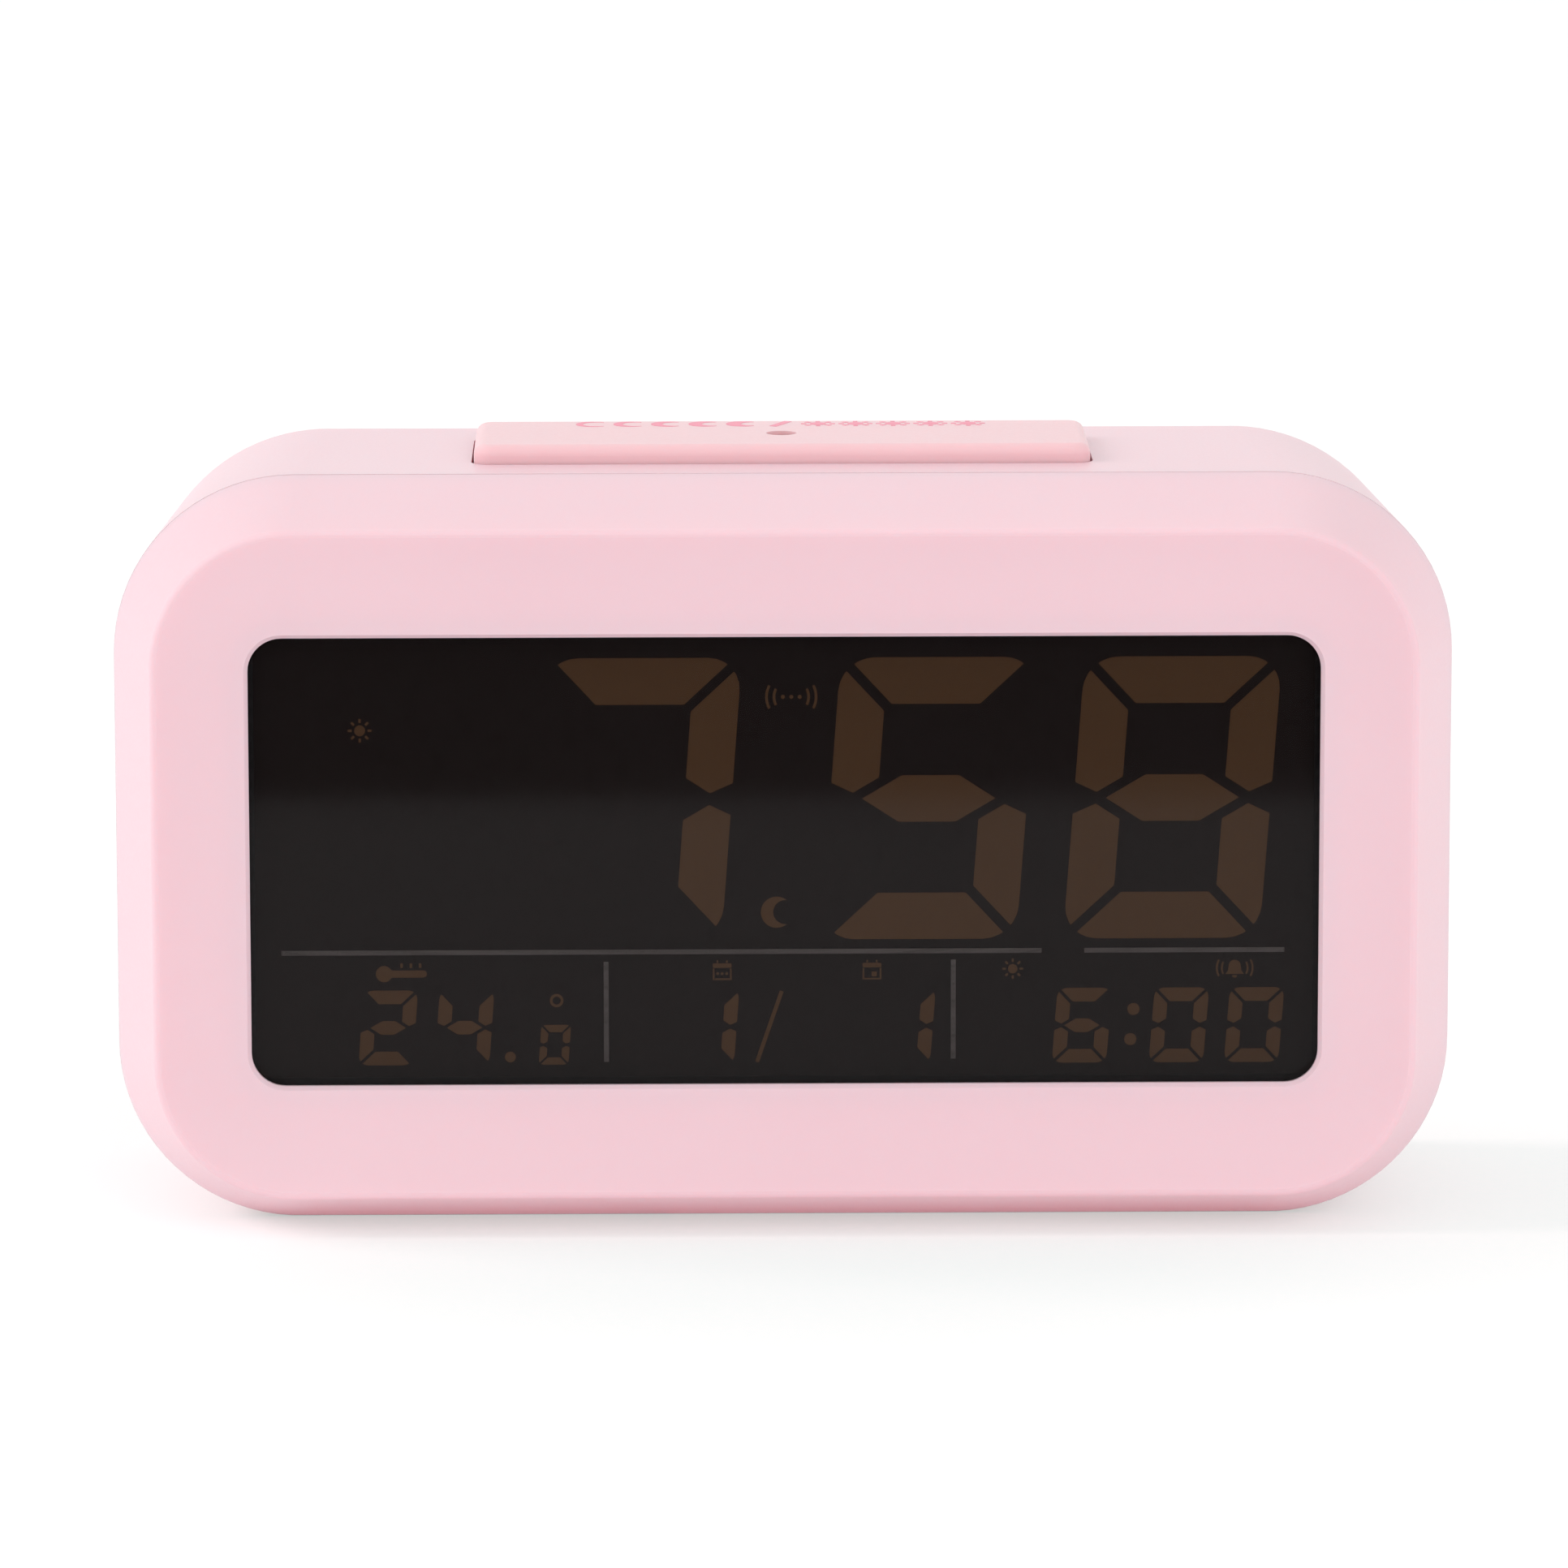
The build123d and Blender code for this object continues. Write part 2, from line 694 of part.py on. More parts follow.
with BuildPart() as key_board_screws:
    y_seat = y_key_board - small_board_thickness
    for x in (-key_post_x, key_post_x):
        extrude(disc(upright(y_seat), x, z_keys, small_head_radius), amount=small_head_height)
        extrude(disc(upright(y_seat), x, z_keys, small_shank_radius), amount=-small_shank_length)
        slot_plane = upright(y_seat - small_head_height)
        drive = cross_slot(slot_plane, x, z_keys, small_head_radius)
        extrude(drive, amount=-drive_slot_depth, mode=Mode.SUBTRACT)

with BuildPart() as key_switches:
    bore_depth = plunger_sunk + key_travel + plunger_floor_gap
    y_switch = y_key_board + switch_height
    for x in key_places:
        extrude(rect(upright(y_switch), x, z_keys, switch_size, switch_size), amount=switch_height)
        bore = disc(upright(y_switch), x, z_keys, plunger_radius + plunger_clearance)
        extrude(bore, amount=bore_depth, mode=Mode.SUBTRACT)

with BuildPart() as slide_switches:
    y_slide = y_key_board + slide_body_depth
    stem_slot_length = slide_stem + slide_travel + 2 * slide_clearance
    for x in (-slide_x, slide_x):
        body = rect(upright(y_slide), x, z_keys, slide_body_length, slide_body_height)
        extrude(body, amount=slide_body_depth)
        slot = rect(upright(y_slide), x, z_keys, stem_slot_length, slide_stem + 2 * slide_clearance)
        extrude(slot, amount=slide_slot_depth, mode=Mode.SUBTRACT)

# Buzzer, held in a ring behind its grille
with BuildPart() as buzzer:
    extrude(disc(upright(y_inner_back), buzzer_x, bay_z, buzzer_radius), amount=buzzer_height)
    sound_hole = disc(upright(y_inner_back), buzzer_x, bay_z, grille_hole_radius)
    extrude(sound_hole, amount=buzzer_height / 2, mode=Mode.SUBTRACT)

# Cells lie along X, each turned end for end against its neighbour
with BuildPart() as battery_cells:
    for index, z in enumerate(cell_levels):
        turn = 1 if index % 2 == 0 else -1
        nub_end = turn * (bay_length / 2 - plate_thickness)
        nub_plane = Plane.YZ.offset(nub_end - turn * nub_length)
        can = disc(nub_plane, y_cells, z, cell_radius)
        extrude(can, amount=-turn * (cell_length - nub_length))
        extrude(disc(nub_plane, y_cells, z, nub_radius), amount=turn * nub_length)
    can_rims = battery_cells.edges().filter_by(GeomType.CIRCLE)
    fillet(can_rims.filter_by(lambda rim: rim.radius > nub_radius + cell_edge_radius), cell_edge_radius)

with BuildPart() as battery_springs:
    for index, z in enumerate(cell_levels):
        turn = 1 if index % 2 == 0 else -1
        foot_x = -turn * (bay_length / 2 - plate_thickness)
        foot = disc(Plane.YZ.offset(foot_x), y_cells, z, spring_radius)
        tip = disc(Plane.YZ.offset(foot_x + turn * spring_length), y_cells, z, spring_tip_radius)
        loft([foot, tip])

# Contact plates: one for each end of the row, with a tab, and others that bridge neighbouring cells
last_cell = cell_count - 1
last_side = 1 if last_cell % 2 == 0 else -1
tab_spots = [(-1, 0), (last_side, last_cell)]
plate_spots = [(side, index, index) for side, index in tab_spots]
plate_spots += [(1 if index % 2 == 0 else -1, index, index + 1) for index in range(last_cell)]
with BuildPart() as battery_plates:
    for side, first, last in plate_spots:
        inner = min(side * bay_length / 2, side * (bay_length / 2 - plate_thickness))
        z_middle = (cell_levels[first] + cell_levels[last]) / 2
        z_length = cell_levels[last] - cell_levels[first] + plate_width
        y_foot = y_bay_floor + plate_seat_gap
        y_length = 2 * (y_cells - y_foot)
        extrude(rect(Plane.YZ.offset(inner), y_cells, z_middle, y_length, z_length), amount=plate_thickness)
    for side, index in tab_spots:
        inner = min(side * bay_length / 2, side * (bay_length / 2 - plate_thickness))
        tab_length = y_cells - y_tab
        tab = rect(Plane.YZ.offset(inner), y_tab + tab_length / 2, cell_levels[index], tab_length, tab_width)
        extrude(tab, amount=plate_thickness)

# Battery door with a round lower edge, two stub pins and a springy latch at the top
with BuildPart() as battery_door:
    door_top = door_bottom + door_height
    with BuildSketch(Plane.YZ):
        with BuildLine():
            Line((y_back - door_thickness, pin_z), (y_back - door_thickness, door_top))
            Line((y_back - door_thickness, door_top), (y_back, door_top))
            Line((y_back, door_top), (y_back, pin_z))
            ThreePointArc((y_back, pin_z), (pin_y, door_bottom), (y_back - door_thickness, pin_z))
        make_face()
    extrude(amount=door_width / 2, both=True)
    top_corners = battery_door.edges().filter_by(Axis.Y).group_by(Axis.Z)[-1]
    fillet(top_corners, door_corner_radius)
    for side in (-1, 1):
        pin = disc(Plane.YZ.offset(side * door_width / 2), pin_y, pin_z, pin_radius)
        extrude(pin, amount=side * pin_length)
        slit = rect(
            upright(y_back), side * latch_half_width, door_top - latch_length / 2, latch_slit, latch_length
        )
        extrude(slit, amount=door_thickness, mode=Mode.SUBTRACT)
    for index in range(grip_count):
        groove_z = door_top - latch_length / 2 + (index - (grip_count - 1) / 2) * grip_pitch
        groove = rect(upright(y_back), 0, groove_z, latch_half_width, grip_width)
        extrude(groove, amount=grip_depth, mode=Mode.SUBTRACT)

# Rear shell: straight top, base trimmed flat, battery bay, key panel, posts, ring and screw columns
with BuildPart() as rear_shell:
    loft(
        [rear_outline(y_part + parting_gap / 2, 0, base_trim), rear_outline(y_back, 0, base_trim)], ruled=True
    )
    fillet(rear_shell.faces().sort_by(Axis.Y)[-1].edges(), rear_edge_radius)
    split(bisect_by=level(0), keep=Keep.TOP)
    loft([rear_outline(y_part, wall), rear_outline(y_inner_back, wall)], ruled=True, mode=Mode.SUBTRACT)
    rabbet = rear_outline(y_part, wall - lip_thickness - lip_clearance)
    extrude(rabbet, amount=-(lip_length + lip_clearance), mode=Mode.SUBTRACT)
    for x, z in case_screw_spots:
        extrude(disc(upright(y_inner_back), x, z, case_column_radius), amount=y_inner_back - y_meet)
    for x in (-key_post_x, key_post_x):
        extrude(disc(upright(y_inner_back), x, z_keys, key_post_radius), amount=y_inner_back - y_key_board)
    for x in (-snooze_post_x, snooze_post_x):
        extrude(disc(level(z_top_inner), x, bar_y, snooze_post_radius), amount=z_snooze_board - z_top_inner)
    buzzer_ring = ring(upright(y_inner_back), buzzer_x, bay_z, buzzer_ring_outer, buzzer_ring_inner)
    extrude(buzzer_ring, amount=buzzer_ring_height)
    bay_block = rect(
        upright(y_inner_back), 0, bay_z, bay_length + 2 * bay_wall, bay_height + 2 * bay_wall
    )
    extrude(bay_block, amount=y_inner_back - y_bay_front)
    extrude(
        rect(upright(y_back), 0, bay_z, bay_length, bay_height),
        amount=y_back - y_bay_floor,
        mode=Mode.SUBTRACT,
    )
    for side, index in tab_spots:
        slot_x = side * (bay_length / 2 - plate_thickness / 2)
        slot = rect(
            upright(y_bay_floor),
            slot_x,
            cell_levels[index],
            plate_thickness + 2 * tab_clearance,
            tab_width + 2 * tab_clearance,
        )
        extrude(slot, amount=bay_wall, mode=Mode.SUBTRACT)
    opening_width = door_width + 2 * door_clearance
    opening_height = door_height + 2 * door_clearance
    with BuildSketch(upright(y_back)) as door_recess:
        with Locations((0, bay_z)):
            Rectangle(opening_width, opening_height)
        recess_corners = door_recess.vertices().group_by(Axis.Y)[-1]
        fillet(recess_corners, door_corner_radius + door_clearance)
    extrude(amount=y_back - y_ledge, mode=Mode.SUBTRACT)
    for side in (-1, 1):
        pin_hole = disc(Plane.YZ.offset(side * door_width / 2), pin_y, pin_z, pin_radius + pin_clearance)
        extrude(pin_hole, amount=side * (pin_length + pin_end_gap), mode=Mode.SUBTRACT)
    panel = rounded(upright(y_back), 0, z_keys, panel_width, panel_height, panel_radius)
    extrude(panel, amount=panel_depth, mode=Mode.SUBTRACT)
    for x in key_places:
        key_hole = disc(upright(y_back), x, z_keys, key_radius + key_clearance)
        extrude(key_hole, amount=back_wall, mode=Mode.SUBTRACT)
    for x in (-slide_x, slide_x):
        slot = rect(upright(y_back), x, z_keys, slot_length, knob_height + 2 * slide_clearance)
        extrude(slot, amount=back_wall, mode=Mode.SUBTRACT)
    extrude(disc(upright(y_back), buzzer_x, bay_z, grille_hole_radius), amount=back_wall, mode=Mode.SUBTRACT)
    with BuildSketch(upright(y_back)):
        with Locations((buzzer_x, bay_z)):
            with PolarLocations(grille_radius, grille_count):
                Circle(grille_hole_radius)
    extrude(amount=back_wall, mode=Mode.SUBTRACT)
    bore_radius, bore_depth = small_bore(small_board_thickness)
    for x in (-key_post_x, key_post_x):
        extrude(disc(upright(y_key_board), x, z_keys, bore_radius), amount=-bore_depth, mode=Mode.SUBTRACT)
    for x in (-snooze_post_x, snooze_post_x):
        extrude(disc(level(z_snooze_board), x, bar_y, bore_radius), amount=bore_depth, mode=Mode.SUBTRACT)
    for x, z in case_screw_spots:
        head_bore = disc(upright(y_back), x, z, case_head_radius + case_head_clearance)
        extrude(head_bore, amount=y_back - y_screw_seat, mode=Mode.SUBTRACT)
        shank_bore = disc(upright(y_screw_seat), x, z, case_shank_radius + screw_clearance)
        extrude(shank_bore, amount=case_screw_land, mode=Mode.SUBTRACT)
    bar_opening = rounded(
        level(z_top_inner),
        0,
        bar_y,
        bar_width + 2 * bar_clearance,
        bar_depth + 2 * bar_clearance,
        bar_corner_radius + bar_clearance,
    )
    extrude(bar_opening, amount=wall, mode=Mode.SUBTRACT)

# Four screws that pull the shells together
with BuildPart() as case_screws:
    for x, z in case_screw_spots:
        extrude(disc(upright(y_screw_seat), x, z, case_head_radius), amount=-case_head_height)
        extrude(disc(upright(y_screw_seat), x, z, case_shank_radius), amount=case_shank_length)
        slot_plane = upright(y_screw_seat + case_head_height)
        drive = cross_slot(slot_plane, x, z, case_head_radius)
        extrude(drive, amount=drive_slot_depth, mode=Mode.SUBTRACT)


def add_lead(points):
    """Round wire along straight runs joined by arcs."""
    with BuildLine(mode=Mode.PRIVATE) as path:
        FilletPolyline(*points, radius=lead_bend)
    with BuildSketch(Plane(origin=path.line @ 0, z_dir=path.line % 0)) as section:
        Circle(lead_radius)
    return section.sketch, path.line


# Leads from the end contacts to their socket
with BuildPart() as battery_leads:
    for side, index in tab_spots:
        start_x = side * (bay_length / 2 - plate_thickness / 2)
        end_x = side * lead_spacing / 2
        z_start = cell_levels[index]
        z_end = mid_z + battery_header_rise
        section, path = add_lead(
            [
                (start_x, y_tab, z_start),
                (start_x, y_tab - lead_run, z_start),
                (end_x, y_header + lead_run, z_end),
                (end_x, y_header, z_end),
            ]
        )
        sweep(section, path=path)

# Leads from the buzzer to its socket
with BuildPart() as buzzer_leads:
    y_buzzer = y_inner_back - buzzer_height
    z_end = mid_z + buzzer_header_rise
    for side in (-1, 1):
        lead_x = buzzer_x + side * lead_spacing / 2
        section, path = add_lead(
            [
                (lead_x, y_buzzer, bay_z),
                (lead_x, y_buzzer - lead_run, bay_z),
                (lead_x, y_header + lead_run, z_end),
                (lead_x, y_header, z_end),
            ]
        )
        sweep(section, path=path)

# Flat cables from the two small boards
with BuildPart() as key_ribbon:
    y_start = y_key_board - small_board_thickness
    with BuildSketch(Plane.YZ):
        with BuildLine():
            FilletPolyline(
                (y_start, z_key_ribbon),
                (y_start - lead_run, z_key_ribbon),
                (y_header + lead_run, z_key_header),
                (y_header, z_key_header),
                radius=ribbon_bend,
            )
        trace(line_width=ribbon_thickness)
    extrude(amount=ribbon_width / 2, both=True)

with BuildPart() as snooze_ribbon:
    z_end = mid_z + snooze_header_rise
    with BuildSketch(Plane.YZ.offset(snooze_header_x)):
        with BuildLine():
            FilletPolyline(
                (bar_y, z_snooze_board - small_board_thickness),
                (bar_y, z_end),
                (y_header, z_end),
                radius=ribbon_bend,
            )
        trace(line_width=ribbon_thickness)
    extrude(amount=ribbon_width / 2, both=True)

pieces = {
    "front_shell": front_shell,
    "rear_shell": rear_shell,
    "display_lens": display_lens,
    "display_frame": display_frame,
    "lcd_panel": lcd_panel,
    "light_guide": light_guide,
    "reflector_sheet": reflector_sheet,
    "backlight_leds": backlight_leds,
    "zebra_strips": zebra_strips,
    "main_board": main_board,
    "main_board_screws": main_board_screws,
    "controller_blob": controller_blob,
    "quartz_crystal": quartz_crystal,
    "thermistor": thermistor,
    "board_components": board_components,
    "board_connectors": board_connectors,
    "snooze_bar": snooze_bar,
    "snooze_board": snooze_board,
    "snooze_board_screws": snooze_board_screws,
    "snooze_switches": snooze_switches,
    "snooze_plungers": snooze_plungers,
    "light_sensor": light_sensor,
    **keys,
    **plungers,
    "key_board": key_board,
    "key_board_screws": key_board_screws,
    "key_switches": key_switches,
    "slide_switches": slide_switches,
    **knobs,
    "buzzer": buzzer,
    "buzzer_leads": buzzer_leads,
    "battery_cells": battery_cells,
    "battery_springs": battery_springs,
    "battery_plates": battery_plates,
    "battery_leads": battery_leads,
    "battery_door": battery_door,
    "key_ribbon": key_ribbon,
    "snooze_ribbon": snooze_ribbon,
    "case_screws": case_screws,
}
for name, piece in pieces.items():
    piece.part.label = name
    export_step(piece.part, f"parts/{name}.step")
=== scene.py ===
# %% [markdown]
# # A small digital alarm clock
# The clock is a pink plastic case in two shells, with a dished face around a smoked window and a wide
# snooze bar on top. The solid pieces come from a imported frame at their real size. This lesson gives them
# their finishes, draws what the display shows, winds the battery springs and lights the result like a
# catalogue picture. All lengths in Blender are metres, so sizes are written in millimetres and multiplied
# by MM.

# %% Load the frame
import json
import math

import bmesh
import bpy
from mathutils import Euler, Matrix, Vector


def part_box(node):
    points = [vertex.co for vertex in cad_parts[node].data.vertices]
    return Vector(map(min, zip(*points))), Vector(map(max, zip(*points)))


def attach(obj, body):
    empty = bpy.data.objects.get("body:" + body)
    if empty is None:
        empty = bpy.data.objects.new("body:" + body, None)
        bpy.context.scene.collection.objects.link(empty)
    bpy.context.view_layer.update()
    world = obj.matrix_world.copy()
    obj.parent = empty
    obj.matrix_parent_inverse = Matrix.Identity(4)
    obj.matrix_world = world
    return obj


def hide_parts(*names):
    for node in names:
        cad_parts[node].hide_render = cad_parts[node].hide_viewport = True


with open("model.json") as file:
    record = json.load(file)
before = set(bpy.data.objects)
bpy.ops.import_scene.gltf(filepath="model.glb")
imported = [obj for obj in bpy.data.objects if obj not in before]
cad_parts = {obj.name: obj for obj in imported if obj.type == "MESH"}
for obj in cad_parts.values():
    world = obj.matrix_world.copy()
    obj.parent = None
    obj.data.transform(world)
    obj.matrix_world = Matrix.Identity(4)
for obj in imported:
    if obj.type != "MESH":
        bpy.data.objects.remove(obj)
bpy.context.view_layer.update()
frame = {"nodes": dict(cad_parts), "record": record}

MM = 0.001
nodes = frame["nodes"]
scene = bpy.context.scene
scene.view_settings.view_transform = "Standard"
for plain_colour in list(bpy.data.materials):
    bpy.data.materials.remove(plain_colour)

# %% [markdown]
# ## Camera
# A catalogue picture of a small thing is taken from about a metre away with a long lens, a little above the
# object. The place, the turn and the focal length below put the corners of the case where the picture has
# them. The turn is written as pitch, yaw and roll, because a photographer would say it that way.

# %% Camera
camera_place = Vector((-12.1, -950.0, 216.5)) * MM
camera_pitch = math.radians(10.384)
camera_yaw = math.radians(0.741)
camera_roll = math.radians(-0.076)

camera_data = bpy.data.cameras.new("camera")
camera_data.sensor_width = 36.0
camera_data.lens = 216.63
camera_data.clip_end = 20.0
camera = bpy.data.objects.new("camera", camera_data)
camera.location = camera_place
turn = Euler((math.pi / 2 - camera_pitch, 0, -camera_yaw)).to_matrix()
camera.rotation_euler = (turn @ Euler((0, 0, camera_roll)).to_matrix()).to_euler()
scene.collection.objects.link(camera)
scene.camera = camera
print("camera:", round(camera_data.lens, 1), "mm lens,", round(camera_place.length, 3), "m from the clock")

# %% [markdown]
# ## Node helpers
# Every finish below is a small tree of nodes. The first helper adds a node and fills its sockets. Four
# short ones stand for the nodes that come up again and again: a blend of two colours, a value between two
# others, a step of arithmetic, and fine relief.


# %% Node helpers
def add_node(tree, kind, links=None, **values):
    """Adds a node, sets its plain properties, and links or fills its inputs by name."""
    node = tree.nodes.new(kind)
    for key, value in values.items():
        setattr(node, key, value)
    for socket, source in (links or {}).items():
        if isinstance(source, bpy.types.NodeSocket):
            tree.links.new(source, node.inputs[socket])
        else:
            node.inputs[socket].default_value = source
    return node


def blend(tree, share, first, second):
    """Colour between two others. A Mix node has its colours at inputs 6 and 7 and at output 2."""
    node = add_node(tree, "ShaderNodeMix", {0: share, 6: first, 7: second}, data_type="RGBA")
    return node.outputs[2]


def between(tree, share, low, high):
    """Value between two others, for a share from 0 to 1."""
    node = add_node(tree, "ShaderNodeMapRange", {"Value": share, "To Min": low, "To Max": high})
    return node.outputs["Result"]


def calculate(tree, operation, first, second=0.0):
    """Result of one step of arithmetic or one comparison."""
    return add_node(tree, "ShaderNodeMath", {0: first, 1: second}, operation=operation).outputs[0]


def add_relief(tree, shader, height, strength, depth):
    """Fine relief that bends the light and leaves the mesh as it is."""
    relief = add_node(tree, "ShaderNodeBump", {"Height": height, "Strength": strength, "Distance": depth})
    tree.links.new(relief.outputs["Normal"], shader.inputs["Normal"])


print("node helpers ready")

# %% [markdown]
# Two more helpers start a material and a node group with named sockets. A group is like a function: it is
# built once and then placed in each material with its own values. Shaders need colours in linear light, and
# most colours below are written as a paint program shows them, so the last helper turns one into the other.


# %% Materials, groups and colours
def start_material(name, **constants):
    """New material whose shader gets the constants on its own sockets."""
    material = bpy.data.materials.new(name)
    material.use_nodes = True
    tree = material.node_tree
    shader = tree.nodes["Principled BSDF"]
    for socket, value in constants.items():
        shader.inputs[socket.replace("_", " ")].default_value = value
    return material, tree, shader


def start_group(name, inputs, outputs):
    """New node group. Inputs are name: (kind, value), outputs are name: kind."""
    group = bpy.data.node_groups.new(name, "ShaderNodeTree")
    for label, (kind, value) in inputs.items():
        socket = group.interface.new_socket(label, in_out="INPUT", socket_type="NodeSocket" + kind)
        socket.default_value = value
    for label, kind in outputs.items():
        group.interface.new_socket(label, in_out="OUTPUT", socket_type="NodeSocket" + kind)
    return group, group.nodes.new("NodeGroupInput"), group.nodes.new("NodeGroupOutput")


def srgb(red, green, blue):
    """Linear colour, with full alpha, from values of 0 to 255."""
    parts = [value / 255 for value in (red, green, blue)]
    linear = [v / 12.92 if v <= 0.04045 else ((v + 0.055) / 1.055) ** 2.4 for v in parts]
    return (*linear, 1.0)


print("middle grey in linear light:", round(srgb(128, 128, 128)[0], 3))

# %% [markdown]
# ## Floor, background and light
# The clock stands on a sheet of pale paper. Rays that show the paper see it lit by the room and with a cool
# glow of its own: together they come to plain white, and where the clock keeps the room light away a soft
# shadow stays, grey and not pink, because the glow makes up for the pink light that the case throws down.
# Rays that carry the light of the paper back to the clock see another mix, a cool sheet with a red glow,
# which comes to the rosy white of paper beside a pink case.

# %% Paper
SEEN_GLOW = (0.21, 0.45, 0.42, 1)
SEEN_PAPER_DEEP = (0.76, 0.535, 0.56, 1)
SEEN_PAPER_PALE = (0.80, 0.575, 0.60, 1)
BOUNCE_GLOW = (0.32, 0.0, 0.04, 1)
BOUNCE_PAPER = (0.67, 0.93, 0.91, 1)


def seen_ray(tree):
    """1 for rays that show the background: from the camera, from gloss or through clear plastic."""
    path = add_node(tree, "ShaderNodeLightPath")
    direct = calculate(tree, "MAXIMUM", path.outputs["Is Camera Ray"], path.outputs["Is Glossy Ray"])
    return calculate(tree, "MAXIMUM", direct, path.outputs["Is Transmission Ray"])


def make_paper():
    material, tree, shader = start_material(
        "white_paper", Roughness=0.9, Specular_IOR_Level=0.1, Emission_Strength=1.0
    )
    seen = seen_ray(tree)
    place = add_node(tree, "ShaderNodeTexCoord")
    fibre = add_node(tree, "ShaderNodeTexNoise", {"Vector": place.outputs["Object"], "Scale": 900.0})
    seen_paper = blend(tree, fibre.outputs["Fac"], SEEN_PAPER_DEEP, SEEN_PAPER_PALE)
    paper = blend(tree, seen, BOUNCE_PAPER, seen_paper)
    glow = blend(tree, seen, BOUNCE_GLOW, SEEN_GLOW)
    tree.links.new(paper, shader.inputs["Base Color"])
    tree.links.new(glow, shader.inputs["Emission Color"])
    return material


white_paper = make_paper()
print("paper:", white_paper.name)

# %% [markdown]
# The floor is one large square of that paper. The world has two strengths as well: one that lights the
# object, and plain white for rays from the camera or from anything shiny or clear.

# %% Floor and world
FLOOR_SIDE = 8.0
ROOM_TINT = (1.0, 0.99, 0.985, 1)
ROOM_LIGHT = 0.82


def add_sheet(name, corners, material):
    mesh = bpy.data.meshes.new(name)
    mesh.from_pydata(corners, [], [(0, 1, 2, 3)])
    mesh.materials.append(material)
    sheet = bpy.data.objects.new(name, mesh)
    scene.collection.objects.link(sheet)
    return sheet


half = FLOOR_SIDE / 2
add_sheet("floor", [(-half, -half, 0), (half, -half, 0), (half, half, 0), (-half, half, 0)], white_paper)

world = bpy.data.worlds.new("studio")
scene.world = world
world.use_nodes = True
air = world.node_tree
air.nodes.clear()
room = add_node(air, "ShaderNodeBackground", {"Color": ROOM_TINT, "Strength": ROOM_LIGHT})
white = add_node(air, "ShaderNodeBackground", {"Color": (1, 1, 1, 1), "Strength": 1.0})
chosen = add_node(
    air, "ShaderNodeMixShader", {0: seen_ray(air), 1: room.outputs[0], 2: white.outputs[0]}
)
add_node(air, "ShaderNodeOutputWorld", {"Surface": chosen.outputs[0]})
print("floor:", FLOOR_SIDE, "m square")

# %% [markdown]
# Two large soft lamps add shape. One stands at the left, level with the clock, so its light falls across
# the top and leaves a shadow to the right of the bar and of the case, but only grazes the dish. A weaker
# one in front, to the right of the camera, fills the dish. Mirrored rays see the white room and not the
# lamps, so satin plastic keeps a soft sheen and shows no glare from any side. Each lamp has a place, a side
# in metres and a power in watts.

# %% Lamps
lamp_table = {
    "left_lamp": ((-2.6, 0.1, 1.5), 1.5, 40.0),
    "front_lamp": ((1.5, -2.7, 1.3), 2.2, 31.0),
}
lamp_target = Vector((0, 0, 40)) * MM
for name, (place, side, power) in lamp_table.items():
    lamp_data = bpy.data.lights.new(name, "AREA")
    lamp_data.size = side
    lamp_data.energy = power
    lamp = bpy.data.objects.new(name, lamp_data)
    lamp.location = place
    lamp.rotation_euler = (lamp_target - Vector(place)).to_track_quat("-Z", "Y").to_euler()
    lamp.visible_glossy = False
    scene.collection.objects.link(lamp)
print("lamps:", ", ".join(lamp_table))

# %% [markdown]
# A dark card lies on the table just outside the picture, in front of the clock. Photographers put one there
# so that the upper part of a shiny window mirrors something dark. Only mirrored rays see the card.

# %% Dark card
CARD_NEAR = -0.255
CARD_FAR = -0.90
CARD_LIFT = 1 * MM
CARD_DEEP = (0.010, 0.009, 0.009, 1)
CARD_PALE = (0.020, 0.018, 0.018, 1)


def make_card():
    material, tree, shader = start_material("dark_card", Roughness=1.0, Specular_IOR_Level=0.0)
    place = add_node(tree, "ShaderNodeTexCoord")
    felt = add_node(tree, "ShaderNodeTexNoise", {"Vector": place.outputs["Object"], "Scale": 400.0})
    tone = add_node(tree, "ShaderNodeValToRGB", {"Fac": felt.outputs["Fac"]})
    tone.color_ramp.elements[0].color = CARD_DEEP
    tone.color_ramp.elements[1].color = CARD_PALE
    tree.links.new(tone.outputs["Color"], shader.inputs["Base Color"])
    return material


card_corners = [(-half, CARD_FAR), (half, CARD_FAR), (half, CARD_NEAR), (-half, CARD_NEAR)]
card = add_sheet("dark_card", [(x, y, CARD_LIFT) for x, y in card_corners], make_card())
card.visible_camera = False
card.visible_diffuse = False
card.visible_shadow = False
card.visible_transmission = False
print("card:", round(CARD_NEAR - CARD_FAR, 3), "m deep")

# %% [markdown]
# ## Moulded plastic
# The case is satin ABS. It is one colour all the way through, but a real moulding is never quite even: the
# colour drifts a little where the melt flowed, and the tool leaves a fine grain that breaks up the gloss.
# The group below gives all three as a colour, a roughness and a height. Painting them by hand would need a
# picture, and noise in the object's own space needs none and stays put when the piece moves.

# %% Moulded skin group
FINE_GRAIN = 3000.0


